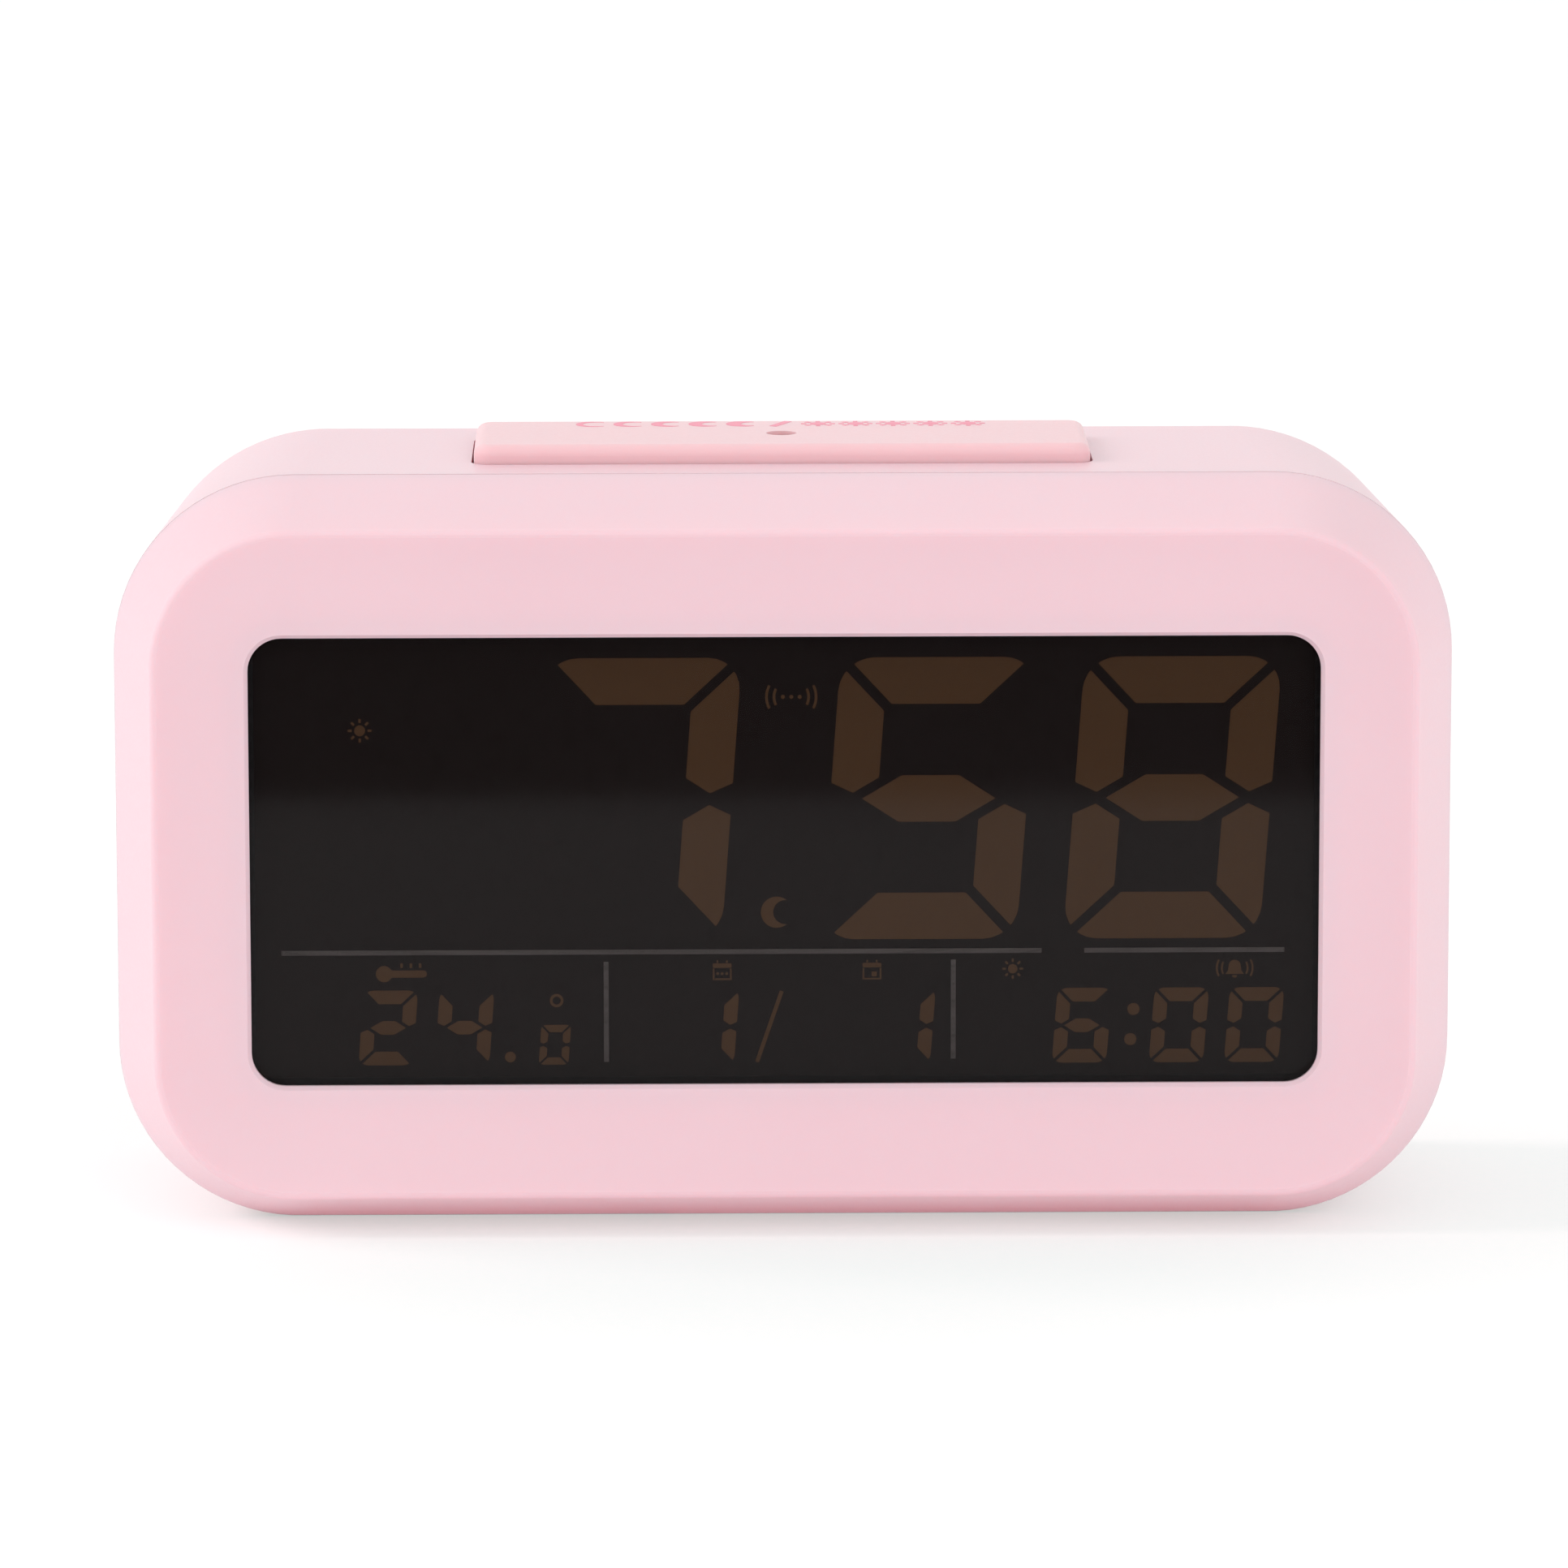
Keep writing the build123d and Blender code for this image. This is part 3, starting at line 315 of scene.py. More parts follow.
def make_moulded_skin():
    group, inside, outside = start_group(
        "moulded_skin",
        {
            "Pale": ("Color", (0.8, 0.8, 0.8, 1)),
            "Deep": ("Color", (0.7, 0.7, 0.7, 1)),
            "Smoothest": ("Float", 0.4),
            "Roughest": ("Float", 0.5),
            "Grain Scale": ("Float", FINE_GRAIN),
        },
        {"Color": "Color", "Roughness": "Float", "Height": "Float"},
    )
    place = add_node(group, "ShaderNodeTexCoord")
    flow = add_node(
        group, "ShaderNodeTexNoise", {"Vector": place.outputs["Object"], "Scale": 28.0, "Detail": 3.0}
    )
    tint = blend(group, flow.outputs["Fac"], inside.outputs["Pale"], inside.outputs["Deep"])
    grain = add_node(
        group,
        "ShaderNodeTexNoise",
        {"Vector": place.outputs["Object"], "Scale": inside.outputs["Grain Scale"], "Detail": 2.0},
    )
    gloss = add_node(
        group,
        "ShaderNodeMapRange",
        {
            "Value": grain.outputs["Fac"],
            "From Min": 0.3,
            "From Max": 0.7,
            "To Min": inside.outputs["Smoothest"],
            "To Max": inside.outputs["Roughest"],
        },
    )
    group.links.new(tint, outside.inputs["Color"])
    group.links.new(gloss.outputs["Result"], outside.inputs["Roughness"])
    group.links.new(grain.outputs["Fac"], outside.inputs["Height"])
    return group


moulded_skin = make_moulded_skin()
print("moulded skin:", len(moulded_skin.nodes), "nodes")

# %% [markdown]
# A plastic is a shader behind that group. The pale satin of the case and the keys has a soft clear sheen,
# and it lets a little light through, red the furthest, so that edges glow warm. The other plastics are
# plain, and differ in their tints, in how smooth they are and in how fine their grain is.

# %% Plastics
SKIN_DEPTH = 0.05 * MM


def make_plastic(name, pale, deep, gloss, grain=FINE_GRAIN, bump=0.08, **constants):
    """Moulded plastic between two tints. Gloss is its smoothest and roughest value."""
    material, tree, shader = start_material(name, **constants)
    skin = add_node(tree, "ShaderNodeGroup", node_tree=moulded_skin)
    skin.inputs["Pale"].default_value = pale
    skin.inputs["Deep"].default_value = deep
    skin.inputs["Smoothest"].default_value, skin.inputs["Roughest"].default_value = gloss
    skin.inputs["Grain Scale"].default_value = grain
    tree.links.new(skin.outputs["Color"], shader.inputs["Base Color"])
    tree.links.new(skin.outputs["Roughness"], shader.inputs["Roughness"])
    add_relief(tree, shader, skin.outputs["Height"], bump, SKIN_DEPTH)
    return material


pale_satin = {
    "Specular_IOR_Level": 1.0,
    "Coat_Weight": 0.5,
    "Coat_Roughness": 0.35,
    "Subsurface_Weight": 0.3,
    "Subsurface_Radius": (1.0, 0.4, 0.35),
    "Subsurface_Scale": 3 * MM,
}
plastics = [
    make_plastic("case_pink", srgb(232, 198, 206), srgb(229, 192, 201), (0.40, 0.50), **pale_satin),
    make_plastic("key_pink", srgb(234, 190, 195), srgb(231, 185, 191), (0.36, 0.46), **pale_satin),
    make_plastic("white_plastic", srgb(238, 238, 234), srgb(230, 230, 226), (0.35, 0.5)),
    make_plastic("switch_black", srgb(30, 30, 32), srgb(22, 22, 24), (0.3, 0.45)),
    make_plastic("strip_rubber", srgb(128, 121, 119), srgb(119, 112, 110), (0.7, 0.85)),
    make_plastic("lead_red", srgb(176, 30, 30), srgb(158, 24, 24), (0.4, 0.55)),
    make_plastic("ribbon_grey", srgb(186, 186, 188), srgb(172, 172, 174), (0.45, 0.6)),
    make_plastic("resin_black", srgb(20, 20, 21), srgb(13, 13, 14), (0.12, 0.25), grain=600.0),
    make_plastic("lamp_yellow", srgb(240, 226, 160), srgb(230, 214, 140), (0.2, 0.3)),
    make_plastic("sensor_clear", srgb(120, 62, 56), srgb(96, 46, 42), (0.08, 0.15)),
]
print("plastics:", len(plastics))

# %% [markdown]
# ## Metal
# Screws, contact plates and springs are plated steel. Plating shows fine marks along the way the metal was
# drawn or rolled, so the noise here is stretched, and it changes the roughness more than the colour.


# %% Drawn metal group
def make_drawn_metal():
    group, inside, outside = start_group(
        "drawn_metal",
        {"Bright": ("Color", (0.7, 0.7, 0.7, 1)), "Dull": ("Color", (0.5, 0.5, 0.5, 1))},
        {"Color": "Color", "Roughness": "Float", "Height": "Float"},
    )
    place = add_node(group, "ShaderNodeTexCoord")
    stretch = add_node(
        group, "ShaderNodeMapping", {"Vector": place.outputs["Object"], "Scale": (400.0, 4000.0, 4000.0)}
    )
    marks = add_node(group, "ShaderNodeTexNoise", {"Vector": stretch.outputs["Vector"], "Scale": 1.0})
    tint = blend(group, marks.outputs["Fac"], inside.outputs["Bright"], inside.outputs["Dull"])
    gloss = between(group, marks.outputs["Fac"], 0.18, 0.42)
    group.links.new(tint, outside.inputs["Color"])
    group.links.new(gloss, outside.inputs["Roughness"])
    group.links.new(marks.outputs["Fac"], outside.inputs["Height"])
    return group


drawn_metal = make_drawn_metal()


def make_metal(name, bright, dull):
    material, tree, shader = start_material(name, Metallic=1.0)
    skin = add_node(tree, "ShaderNodeGroup", node_tree=drawn_metal)
    skin.inputs["Bright"].default_value = bright
    skin.inputs["Dull"].default_value = dull
    tree.links.new(skin.outputs["Color"], shader.inputs["Base Color"])
    tree.links.new(skin.outputs["Roughness"], shader.inputs["Roughness"])
    add_relief(tree, shader, skin.outputs["Height"], 0.06, SKIN_DEPTH)
    return material


screw_steel = make_metal("screw_steel", srgb(200, 200, 202), srgb(176, 176, 178))
contact_metal = make_metal("contact_metal", srgb(224, 222, 216), srgb(204, 202, 196))
print("metals:", screw_steel.name, "and", contact_metal.name)

# %% [markdown]
# ## Circuit boards
# A circuit board is glass cloth under a green lacquer, with copper tracks that show through as paler lines.
# The tracks are made from a brick pattern: its mortar lines, kept thin, run straight and turn square
# corners the way tracks do. Round pads come from a pattern of cells with a dot in each.

# %% Board lacquer
TRACK_SCALE = 260.0
PAD_RADIUS = 0.14
TRACK_DEPTH = 0.04 * MM


def make_board():
    material, tree, shader = start_material("board_green", Coat_Weight=0.3, Coat_Roughness=0.2)
    place = add_node(tree, "ShaderNodeTexCoord")
    flat = add_node(
        tree,
        "ShaderNodeMapping",
        {
            "Vector": place.outputs["Object"],
            "Rotation": (math.pi / 2, 0, 0),
            "Scale": (TRACK_SCALE, TRACK_SCALE, TRACK_SCALE),
        },
    )
    tracks = add_node(
        tree,
        "ShaderNodeTexBrick",
        {
            "Vector": flat.outputs["Vector"],
            "Color1": srgb(22, 92, 52),
            "Color2": srgb(18, 84, 46),
            "Mortar": srgb(52, 132, 82),
            "Scale": 1.0,
            "Mortar Size": 0.06,
            "Mortar Smooth": 0.2,
        },
    )
    dots = add_node(tree, "ShaderNodeTexVoronoi", {"Vector": flat.outputs["Vector"], "Scale": 0.8})
    pad = calculate(tree, "LESS_THAN", dots.outputs["Distance"], PAD_RADIUS)
    tint = blend(tree, pad, tracks.outputs["Color"], srgb(196, 190, 160))
    tree.links.new(tint, shader.inputs["Base Color"])
    tree.links.new(between(tree, pad, 0.38, 0.25), shader.inputs["Roughness"])
    add_relief(tree, shader, tracks.outputs["Fac"], 0.3, TRACK_DEPTH)
    return material


board_green = make_board()
print("board lacquer:", board_green.name)

# %% [markdown]
# ## Window and display glass
# The window is smoked acrylic: polished, nearly black, and see-through enough to read the segments behind
# it. Real absorption would need many light bounces inside the sheet. A dark shader with part of its alpha
# taken away gives the same look, keeps its shine, and still works when the model is exported. Wiping leaves
# faint streaks on such a window, so the roughness follows a noise stretched along X.

# %% Smoked window
SMOKE_DEEP = (0.0045, 0.0038, 0.0040, 1)
SMOKE_PALE = (0.0062, 0.0054, 0.0058, 1)


def make_smoked_lens():
    material, tree, shader = start_material("smoked_lens", Alpha=0.40, IOR=1.49, Specular_IOR_Level=0.22)
    place = add_node(tree, "ShaderNodeTexCoord")
    wipe = add_node(
        tree, "ShaderNodeMapping", {"Vector": place.outputs["Object"], "Scale": (18.0, 200.0, 160.0)}
    )
    streaks = add_node(
        tree, "ShaderNodeTexNoise", {"Vector": wipe.outputs["Vector"], "Scale": 1.0, "Detail": 4.0}
    )
    tree.links.new(between(tree, streaks.outputs["Fac"], 0.03, 0.09), shader.inputs["Roughness"])
    tint = blend(tree, streaks.outputs["Fac"], SMOKE_DEEP, SMOKE_PALE)
    tree.links.new(tint, shader.inputs["Base Color"])
    return material


smoked_lens = make_smoked_lens()
polished = {"grain": 900.0, "bump": 0.02, "Specular_IOR_Level": 0.1}
clear = {"grain": 500.0, "bump": 0.02, "Alpha": 0.4}
display_finishes = [
    make_plastic("lcd_glass", srgb(54, 44, 42), srgb(48, 40, 38), (0.25, 0.35), **polished),
    make_plastic("lcd_segment", srgb(144, 103, 64), srgb(136, 96, 60), (0.55, 0.7), grain=2200.0),
    make_plastic("clear_acrylic", srgb(236, 240, 240), srgb(228, 234, 234), (0.05, 0.12), **clear),
]
print("window finish:", smoked_lens.name, "and", len(display_finishes), "behind it")

# %% [markdown]
# ## Cells
# The three cells in the bay have a printed sleeve with bare metal at both ends. The cells lie along X, so
# the sleeve is a band chosen by the distance from the middle of the bay. The flat ends face along X, and
# that is how the shader finds them.

# %% Cell sleeve
cells_low, cells_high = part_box("battery_cells")
bay_middle = (cells_low.x + cells_high.x) / 2
SLEEVE_HALF = 20.3 * MM
BAND_HALF = 7.0 * MM
END_FACING = 0.9


def make_sleeve():
    material, tree, shader = start_material("cell_wrap")
    place = add_node(tree, "ShaderNodeTexCoord")
    point = add_node(tree, "ShaderNodeSeparateXYZ", {"Vector": place.outputs["Object"]})
    along = calculate(tree, "SUBTRACT", point.outputs["X"], bay_middle)
    away = calculate(tree, "ABSOLUTE", along)
    cap = calculate(tree, "GREATER_THAN", away, SLEEVE_HALF)
    facing = add_node(tree, "ShaderNodeSeparateXYZ", {"Vector": place.outputs["Normal"]})
    slope = calculate(tree, "ABSOLUTE", facing.outputs["X"])
    flat = calculate(tree, "GREATER_THAN", slope, END_FACING)
    bare = calculate(tree, "MAXIMUM", cap, flat)
    band = calculate(tree, "LESS_THAN", away, BAND_HALF)
    ink = add_node(tree, "ShaderNodeTexNoise", {"Vector": place.outputs["Object"], "Scale": 700.0})
    green = blend(tree, ink.outputs["Fac"], srgb(38, 96, 72), srgb(32, 86, 64))
    banded = blend(tree, band, green, srgb(214, 218, 210))
    sleeve = blend(tree, bare, banded, srgb(206, 205, 200))
    tree.links.new(sleeve, shader.inputs["Base Color"])
    tree.links.new(bare, shader.inputs["Metallic"])
    tree.links.new(between(tree, ink.outputs["Fac"], 0.22, 0.36), shader.inputs["Roughness"])
    return material


cell_wrap = make_sleeve()
print(cell_wrap.name, "on cells", round((cells_high.x - cells_low.x) / MM, 1), "mm along X")

# %% [markdown]
# ## Dress the solid pieces
# The record says which finish each solid piece takes, so the materials above carry the same names and one
# loop hands them out. The meshes themselves stay as they are.

# %% Dress the solid pieces
for part in frame["record"]["subparts"]:
    piece = nodes[part["node"]]
    piece.data.materials.clear()
    piece.data.materials.append(bpy.data.materials[part["material_slot"]])

# %% [markdown]
# ## Flat shapes
# What the display shows, and the small marks on the case, are flat shapes with sharp edges. Each is an
# outline in its own plane, turned into a thin plate so that it has real edges from every side. These
# helpers make the outlines: a rounded box, a dot, a straight stroke, a bent stroke, a ring, and a cut of
# any outline along a line.


# %% Outline helpers
def arc(centre, radius, start, end, steps):
    """Points on an arc, with angles in degrees."""
    angles = [math.radians(start + (end - start) * i / steps) for i in range(steps + 1)]
    return [(centre[0] + radius * math.cos(a), centre[1] + radius * math.sin(a)) for a in angles]


def rounded_box(centre, width, height, radius, steps=6):
    points = []
    for quarter, (right, up) in enumerate([(1, 1), (-1, 1), (-1, -1), (1, -1)]):
        corner = (centre[0] + right * (width / 2 - radius), centre[1] + up * (height / 2 - radius))
        points += arc(corner, radius, 90 * quarter, 90 * quarter + 90, steps)
    return points


def dot(centre, radius, steps=24):
    return arc(centre, radius, 0, 360, steps)[:-1]


def stroke(start, end, width):
    """Straight stroke with square ends."""
    along = Vector((end[0] - start[0], end[1] - start[1])).normalized() * (width / 2)
    side = (-along.y, along.x)
    return [
        (start[0] + side[0], start[1] + side[1]),
        (start[0] - side[0], start[1] - side[1]),
        (end[0] - side[0], end[1] - side[1]),
        (end[0] + side[0], end[1] + side[1]),
    ]


def bent_stroke(centre, radius, width, start, end, steps=12):
    """Stroke of even width along an arc."""
    outer = arc(centre, radius + width / 2, start, end, steps)
    inner = arc(centre, radius - width / 2, end, start, steps)
    return outer + inner


def ring(radius, width, steps=28):
    """Ring that stops one degree short of closing, so that it stays a single outline."""
    return bent_stroke((0, 0), radius, width, 0, 359, steps)


def cut(points, u, v, least):
    """The part of an outline where u * x + v * y is at least the given value."""
    kept = []
    for here, after in zip(points, points[1:] + points[:1]):
        here_side = u * here[0] + v * here[1] - least
        after_side = u * after[0] + v * after[1] - least
        if here_side >= 0:
            kept.append(here)
        if here_side * after_side < 0:
            share = here_side / (here_side - after_side)
            kept.append((here[0] + share * (after[0] - here[0]), here[1] + share * (after[1] - here[1])))
    return kept


def moved(points, shift, lean=0.0):
    """Outline moved by shift, after leaning it to the right by a share of its height."""
    return [(x + y * lean + shift[0], y + shift[1]) for x, y in points]


print("outline helpers ready")

# %% [markdown]
# A plate is two copies of its outline, a front and a back, joined by a wall. Where the outline lies is left
# to a function that turns two flat coordinates and a height into a point on the clock, so the same helper
# serves the display, the top of the bar and the back of the case. Outlines are in millimetres.


# %% Plate helper
def add_plates(name, outlines, to_point, thickness, body, slot):
    """One piece made of thin plates, riding on a body, in the finish of a slot."""
    mesh = bmesh.new()
    for outline in outlines:
        foot = [mesh.verts.new(to_point(x * MM, y * MM, 0)) for x, y in outline]
        face = [mesh.verts.new(to_point(x * MM, y * MM, thickness)) for x, y in outline]
        mesh.faces.new(face)
        mesh.faces.new(list(reversed(foot)))
        for i in range(len(outline)):
            j = (i + 1) % len(outline)
            mesh.faces.new((foot[i], foot[j], face[j], face[i]))
    bmesh.ops.recalc_face_normals(mesh, faces=mesh.faces)
    data = bpy.data.meshes.new(name)
    mesh.to_mesh(data)
    mesh.free()
    data.materials.append(bpy.data.materials[slot])
    piece = bpy.data.objects.new(name, data)
    scene.collection.objects.link(piece)
    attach(piece, body)
    return piece


print("plate helper ready")

# %% [markdown]
# ## What the display shows
# A numeral is cut out of one rounded box. The top bar is the part above a level line and between two mitred
# corners, the upper left bar is the part beside it, and mirror images give the rest. Cutting one box this
# way keeps the outer corners round and the gaps even, as on a real display. The numerals lean a little.

# %% Numeral segments
LEAN = math.tan(math.radians(4.2))
MIDDLE_SLOPE = 0.62
MIDDLE_FALL = 0.46
ELBOW_SHARE = 0.47
SPREAD_SHARE = 0.6
numeral_bars = {
    "0": "abcdef",
    "1": "bc",
    "2": "abged",
    "4": "fgbc",
    "5": "afgcd",
    "6": "afgedc",
    "7": "abc",
    "8": "abcdefg",
}


def numeral(digit, centre, width, height, bar, gap, radius):
    """Outlines of the lit bars of one numeral."""
    right, top = width / 2, height / 2
    box = rounded_box((0, 0), width, height, radius)
    mitre = gap / math.sqrt(2)
    corner = top - right
    elbow = -right + ELBOW_SHARE * bar
    spread = SPREAD_SHARE * gap
    a = cut(box, 0, 1, top - bar)
    a = cut(cut(a, 1, 1, corner + mitre), -1, 1, corner + mitre)
    f = cut(cut(box, -1, 0, right - bar), -1, -1, mitre - corner)
    f = cut(f, -MIDDLE_SLOPE, 1, spread - MIDDLE_SLOPE * elbow)
    f = cut(f, MIDDLE_FALL, 1, spread + MIDDLE_FALL * elbow)
    g = cut(cut(box, 0, 1, -bar / 2), 0, -1, -bar / 2)
    for side in (-1, 1):
        for up in (-1, 1):
            g = cut(g, side * MIDDLE_SLOPE, up, MIDDLE_SLOPE * elbow + spread)
    bars = {"a": a, "f": f, "g": g}
    bars["b"] = [(-x, y) for x, y in f]
    bars["c"] = [(-x, -y) for x, y in f]
    bars["d"] = [(x, -y) for x, y in a]
    bars["e"] = [(x, -y) for x, y in f]
    return [moved(bars[letter], centre, LEAN) for letter in numeral_bars[digit]]


print("numerals:", " ".join(numeral_bars))

# %% [markdown]
# Places on the display are counted from the middle of its glass. The time is large, and below it stand the
# temperature, the date and the time of the alarm.

# %% Time, temperature, date and alarm
lcd_low, lcd_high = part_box("lcd_panel")
display_middle = (lcd_low + lcd_high) / 2
SEGMENT_THICKNESS = 0.05 * MM
TIME_SIZE = {"width": 19.8, "height": 28.8, "bar": 4.75, "gap": 1.0, "radius": 3.4}
TIME_LEVEL = 6.0
SMALL_SIZE = {"width": 5.5, "height": 7.7, "bar": 1.4, "gap": 0.32, "radius": 1.0}
SMALL_LEVEL = -17.35
TENTH_SIZE = {"width": 3.0, "height": 4.1, "bar": 0.75, "gap": 0.2, "radius": 0.5}
TENTH_LEVEL = -19.15
POINT_RADIUS = 0.55
COLON_RADIUS = 0.62
DATE_STROKE = 0.4


def on_display(x, y, height):
    """Point on the front of the display glass."""
    return Vector((display_middle.x + x, lcd_low.y - height, display_middle.z + y))


def small_numerals(row):
    """Outlines of small numerals, given as pairs of a digit and its place along X."""
    return [bar for digit, x in row for bar in numeral(digit, (x, SMALL_LEVEL), **SMALL_SIZE)]


display_groups = {
    "hour": numeral("7", (-15.2, TIME_LEVEL), **TIME_SIZE),
    "minute_tens": numeral("5", (14.5, TIME_LEVEL), **TIME_SIZE),
    "minute_units": numeral("8", (39.0, TIME_LEVEL), **TIME_SIZE),
    "temperature": small_numerals([("2", -40.0), ("4", -32.3)]),
    "date": small_numerals([("1", -7.6), ("1", 12.2)]),
    "alarm_time": small_numerals([("6", 30.0), ("0", 39.8), ("0", 47.4)]),
}
display_groups["temperature"] += [dot((-27.7, -20.4), POINT_RADIUS)]
display_groups["temperature"] += numeral("0", (-23.2, TENTH_LEVEL), **TENTH_SIZE)
display_groups["date"] += [stroke((-2.8, -21.0), (-0.3, -13.7), DATE_STROKE)]
display_groups["alarm_time"] += [dot((35.2, -15.7), COLON_RADIUS), dot((34.9, -18.8), COLON_RADIUS)]
for name, bars in display_groups.items():
    add_plates("display_" + name, bars, on_display, SEGMENT_THICKNESS, "case", "lcd_segment")
print("display groups:", ", ".join(display_groups))

# %% [markdown]
# Small symbols stand beside the numerals: a sun for the morning, a thermometer, two calendar pages, a bell
# and a moon for the snooze. Each is a handful of outlines around its own middle, with its parts as shares
# of its size, so that it can be used again on the case at another size.


# %% Symbol shapes
def sun(size, disc=0.23, ray=0.10):
    """Disc with eight rays. Disc radius and ray width are shares of the size."""
    reach = [(math.cos(math.radians(45 * i)), math.sin(math.radians(45 * i))) for i in range(8)]
    near, far = (disc + 0.1) * size, 0.5 * size
    marks = [stroke((near * c, near * s), (far * c, far * s), ray * size) for c, s in reach]
    return [dot((0, 0), disc * size)] + marks


def moon(size, hollow=0.55):
    """Crescent open to the right. A larger hollow leaves a thinner moon."""
    radius = size / 2
    tip_angle = 50
    tip = arc((0, 0), radius, tip_angle, tip_angle, 1)[0]
    shift = radius * (1.1 - hollow)
    inner = math.hypot(tip[0] - shift, tip[1])
    half_turn = math.degrees(math.atan2(tip[1], tip[0] - shift))
    outside = arc((0, 0), radius, tip_angle, 360 - tip_angle, 28)
    inside = arc((shift, 0), inner, 360 - half_turn, half_turn, 24)
    return [outside + inside[1:-1]]


def thermometer(size):
    """Lying thermometer with its bulb at the left and three marks above the tube."""
    bulb, tube = 0.16 * size, 0.07 * size
    start = math.degrees(math.asin(tube / bulb))
    left = (-0.34 * size, -0.04 * size)
    right = (0.42 * size, -0.04 * size)
    outline = arc(left, bulb, start, 360 - start, 20) + arc(right, tube, -90, 90, 8)
    low, high = 0.08 * size, 0.17 * size
    marks = [stroke((x * size, low), (x * size, high), 0.05 * size) for x in (0.0, 0.18, 0.36)]
    return [outline] + marks


def calendar_page(size, marked):
    """Page with a solid head, two rings and either a row of dots or one marked day."""
    side, line = 0.5 * size, 0.09 * size
    shapes = [rounded_box((0, 0.28 * size), size, 0.24 * size, 0.06 * size, 3)]
    shapes += [stroke((x, 0.12 * size), (x, -side), line) for x in (-side + line / 2, side - line / 2)]
    shapes += [stroke((-side + 1.2 * line, -side + line / 2), (side - 1.2 * line, -side + line / 2), line)]
    shapes += [stroke((x * size, 0.43 * size), (x * size, 0.56 * size), line) for x in (-0.25, 0.25)]
    if marked:
        return shapes + [rounded_box((0.12 * size, -0.2 * size), 0.28 * size, 0.26 * size, 0.04 * size, 3)]
    return shapes + [dot((x * size, -0.15 * size), 0.08 * size, 12) for x in (-0.24, 0.0, 0.24)]


def bell(size):
    dome = arc((0, 0.1 * size), 0.29 * size, 180, 0, 16)
    outline = [(-0.46 * size, -0.3 * size), (-0.32 * size, -0.14 * size)] + dome
    outline += [(0.32 * size, -0.14 * size), (0.46 * size, -0.3 * size)]
    return [outline, arc((0, -0.36 * size), 0.12 * size, 180, 360, 8)]


def ringing(size, radii):
    """Pairs of bent strokes at both sides, as drawn beside something that rings."""
    shapes = []
    for radius in radii:
        for middle in (0, 180):
            shapes.append(bent_stroke((0, 0), radius * size, 0.09 * size, middle - 28, middle + 28, 8))
    return shapes


def signal_dots(size):
    return [dot((x * size, 0), 0.07 * size, 12) for x in (-0.28, 0.0, 0.28)]


print("moon:", len(moon(1.0)[0]), "points, sun:", len(sun(1.0)), "outlines")

# %% [markdown]
# Each symbol then gets its size and its place on the display, in millimetres.

# %% Symbols on the display
display_symbols = {
    "morning": (sun(2.4), (-42.6, 13.1)),
    "thermometer": (thermometer(5.2), (-38.6, -11.6)),
    "degree": ([ring(0.55, 0.28, 20)], (-23.0, -14.6)),
    "month": (calendar_page(1.9, marked=False), (-6.3, -11.6)),
    "day": (calendar_page(1.9, marked=True), (8.8, -11.6)),
    "alarm_morning": (sun(2.1), (23.0, -11.5)),
    "alarm_bell": (bell(2.1) + ringing(2.1, (0.62, 0.86)), (45.4, -11.5)),
    "ringing": (signal_dots(3.0) + ringing(3.0, (0.58, 0.83)), (0.7, 16.4)),
    "snooze_moon": (moon(3.2), (-0.8, -5.6)),
}
for name, (shapes, place) in display_symbols.items():
    outlines = [moved(shape, place) for shape in shapes]
    add_plates("symbol_" + name, outlines, on_display, SEGMENT_THICKNESS, "case", "lcd_segment")
print("symbols:", len(display_symbols))

# %% [markdown]
# Grey lines part the display into its fields. They are printed on the back of the window, together with the
# black border that hides the edge of the display glass.

# %% Printed lines and border
lens_low, lens_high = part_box("display_lens")
FIELD_LEVEL = -9.6
LINE_WIDTH = 0.5
PRINT_THICKNESS = 0.03 * MM
LENS_LAP = 1.5
BORDER = 0.45


def behind_window(x, y, height):
    """Point on the back of the window."""
    return Vector((display_middle.x + x, lens_high.y + height, display_middle.z + y))


field_lines = [
    stroke((-50.7, FIELD_LEVEL), (25.9, FIELD_LEVEL), LINE_WIDTH),
    stroke((30.2, FIELD_LEVEL), (50.4, FIELD_LEVEL), LINE_WIDTH),
    stroke((-18.0, -10.6), (-18.0, -20.9), LINE_WIDTH),
    stroke((17.0, -10.5), (17.0, -20.7), LINE_WIDTH),
]
add_plates("field_lines", field_lines, behind_window, PRINT_THICKNESS, "case", "strip_rubber")

lens_width = (lens_high.x - lens_low.x) / MM
lens_height = (lens_high.z - lens_low.z) / MM
band = LENS_LAP + BORDER
across = (lens_width - band) / 2
upright = (lens_height - band) / 2
reach = lens_height / 2 - band
border = [stroke((-lens_width / 2, y), (lens_width / 2, y), band) for y in (-upright, upright)]
border += [stroke((x, -reach), (x, reach), band) for x in (-across, across)]
add_plates("window_border", border, behind_window, PRINT_THICKNESS, "case", "switch_black")
print("field lines:", len(field_lines), "and a border", band, "mm wide")

# %% [markdown]
# ## Marks on the snooze bar
# The bar carries a band of pad printing in a deeper pink. Here it is five moons that wax towards the middle
# and five suns, for snooze and light, with a slash between them. The print is a film of ink, so its plates
# are very thin.

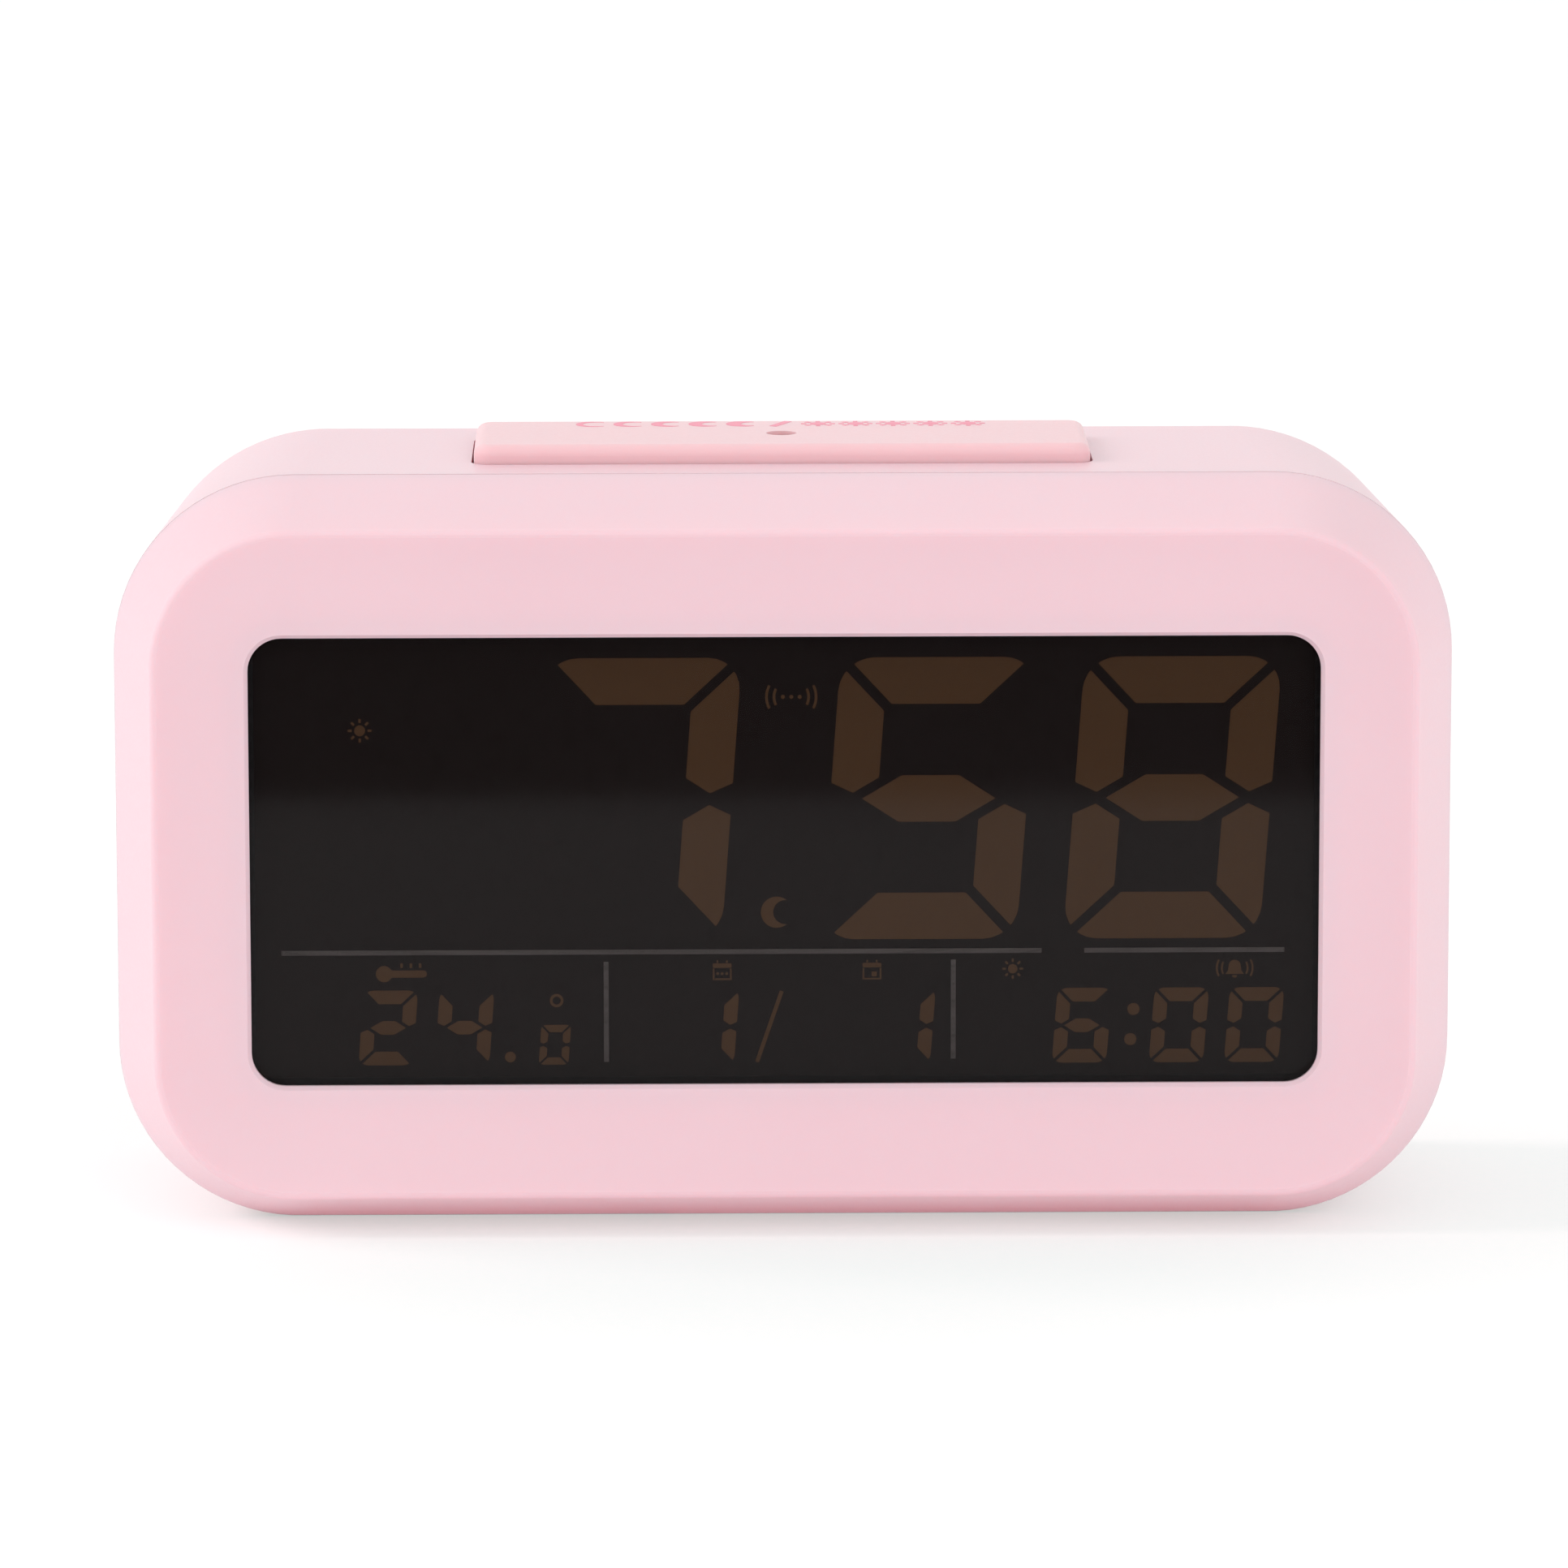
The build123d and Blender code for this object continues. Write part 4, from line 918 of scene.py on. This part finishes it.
# %% Snooze bar print
print_pink = make_plastic("print_pink", srgb(236, 150, 170), srgb(232, 142, 163), (0.45, 0.55))
bar_low, bar_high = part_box("snooze_bar")
BAR_FLANGE = 1.2 * MM
PRINT_SETBACK = 14.9 * MM
PRINT_COUNT = 5
PRINT_STEP = 3.85
PRINT_SIZE = 3.5
SLASH_LEAN = 0.8
SLASH_WIDTH = 0.8
FULLEST_HOLLOW = 0.35
HOLLOW_STEP = 0.1
print_y = bar_low.y + BAR_FLANGE + PRINT_SETBACK


def on_bar(x, y, height):
    """Point on the top of the snooze bar."""
    return Vector(((bar_low.x + bar_high.x) / 2 + x, print_y + y, bar_high.z + height))


marks = [stroke((-SLASH_LEAN, -PRINT_SIZE / 2), (SLASH_LEAN, PRINT_SIZE / 2), SLASH_WIDTH)]
for step in range(1, PRINT_COUNT + 1):
    waning_moon = moon(PRINT_SIZE, FULLEST_HOLLOW + HOLLOW_STEP * step)
    marks += [moved(shape, (-step * PRINT_STEP, 0)) for shape in waning_moon]
    marks += [moved(shape, (step * PRINT_STEP, 0)) for shape in sun(PRINT_SIZE, disc=0.24, ray=0.13)]
add_plates("bar_print", marks, on_bar, PRINT_THICKNESS, "snooze", "print_pink")
print("bar print:", len(marks), "marks in", print_pink.name)

# %% [markdown]
# ## Marks on the back
# The keys and the slide switches have small printed symbols above them, so that a user knows what they set:
# a clock face, a ring with a dot, two arrowheads, a bell and a sun.

# %% Back print
shell_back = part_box("rear_shell")[1].y
BACK_SYMBOL = 3.0
BACK_RISE = 7.6 * MM


def above_piece(node):
    """Places on the back of the case above a key or knob. Seen from behind, x goes to the right."""
    low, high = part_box(node)
    middle = (low + high) / 2

    def on_back(x, y, height):
        return Vector((middle.x - x, shell_back + height, middle.z + BACK_RISE + y))

    return on_back


def clock_face(size):
    minute_hand = stroke((0, 0), (0, 0.3 * size), 0.1 * size)
    hour_hand = stroke((0.05 * size, 0), (0.24 * size, 0), 0.1 * size)
    return [ring(0.45 * size, 0.1 * size), minute_hand, hour_hand]


def arrowhead(size, up):
    return [[(-0.42 * size, -0.32 * size * up), (0.42 * size, -0.32 * size * up), (0, 0.4 * size * up)]]


def dotted_ring(size):
    return [ring(0.42 * size, 0.1 * size), dot((0, 0), 0.18 * size)]


back_symbols = {
    "mode_key": clock_face(BACK_SYMBOL),
    "set_key": dotted_ring(BACK_SYMBOL),
    "up_key": arrowhead(BACK_SYMBOL, 1),
    "down_key": arrowhead(BACK_SYMBOL, -1),
    "alarm_switch_knob": bell(BACK_SYMBOL),
    "light_switch_knob": sun(BACK_SYMBOL),
}
for node, shapes in back_symbols.items():
    add_plates("mark_" + node, shapes, above_piece(node), PRINT_THICKNESS, "case", "print_pink")
print("back marks:", len(back_symbols))

# %% [markdown]
# ## Battery springs
# In the frame each spring is a plain plug in the space that the coil takes. Here it becomes wire: a spiral
# that starts flat on its contact plate and narrows towards the cell. A curve with a round bevel is the
# shortest way to make wire in Blender. Neighbouring cells lie the other way round, so their springs stand
# at opposite ends of the bay.

# %% Battery springs
springs_low, springs_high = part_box("battery_springs")
SPRING_COUNT = 3
SPRING_LENGTH = 4.0 * MM
SPRING_FOOT = 3.6 * MM
SPRING_TIP = 2.6 * MM
WIRE = 0.3 * MM
TURNS = 4
TURN_POINTS = 24
FLAT_SHARE = 0.2
CLIMB_SHARE = 0.7
coil_steps = TURNS * TURN_POINTS
cell_radius = (cells_high.y - cells_low.y) / 2
cell_pitch = (cells_high.z - cells_low.z - 2 * cell_radius) / (SPRING_COUNT - 1)
cell_depth = (cells_low.y + cells_high.y) / 2

wire = bpy.data.curves.new("battery_spring_coils", "CURVE")
wire.dimensions = "3D"
wire.bevel_depth = WIRE
wire.bevel_resolution = 3
for index in range(SPRING_COUNT):
    turn_way = 1 if index % 2 == 0 else -1
    foot_x = springs_low.x if turn_way == 1 else springs_high.x
    foot = Vector((foot_x, cell_depth, cells_low.z + cell_radius + index * cell_pitch))
    coil = wire.splines.new("POLY")
    coil.points.add(coil_steps)
    for i in range(coil_steps + 1):
        share = i / coil_steps
        climb = min(max((share - FLAT_SHARE) / CLIMB_SHARE, 0), 1)
        radius = SPRING_FOOT + (SPRING_TIP - SPRING_FOOT) * climb - WIRE
        angle = 2 * math.pi * TURNS * share
        rise = WIRE + (SPRING_LENGTH - 2 * WIRE) * climb
        spot = foot + Vector((turn_way * rise, radius * math.cos(angle), radius * math.sin(angle)))
        coil.points[i].co = (*spot, 1)
coils = bpy.data.objects.new("battery_spring_coils", wire)
wire.materials.append(contact_metal)
scene.collection.objects.link(coils)
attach(coils, "case")
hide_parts("battery_springs")
print("springs:", SPRING_COUNT, "coils of", TURNS, "turns")
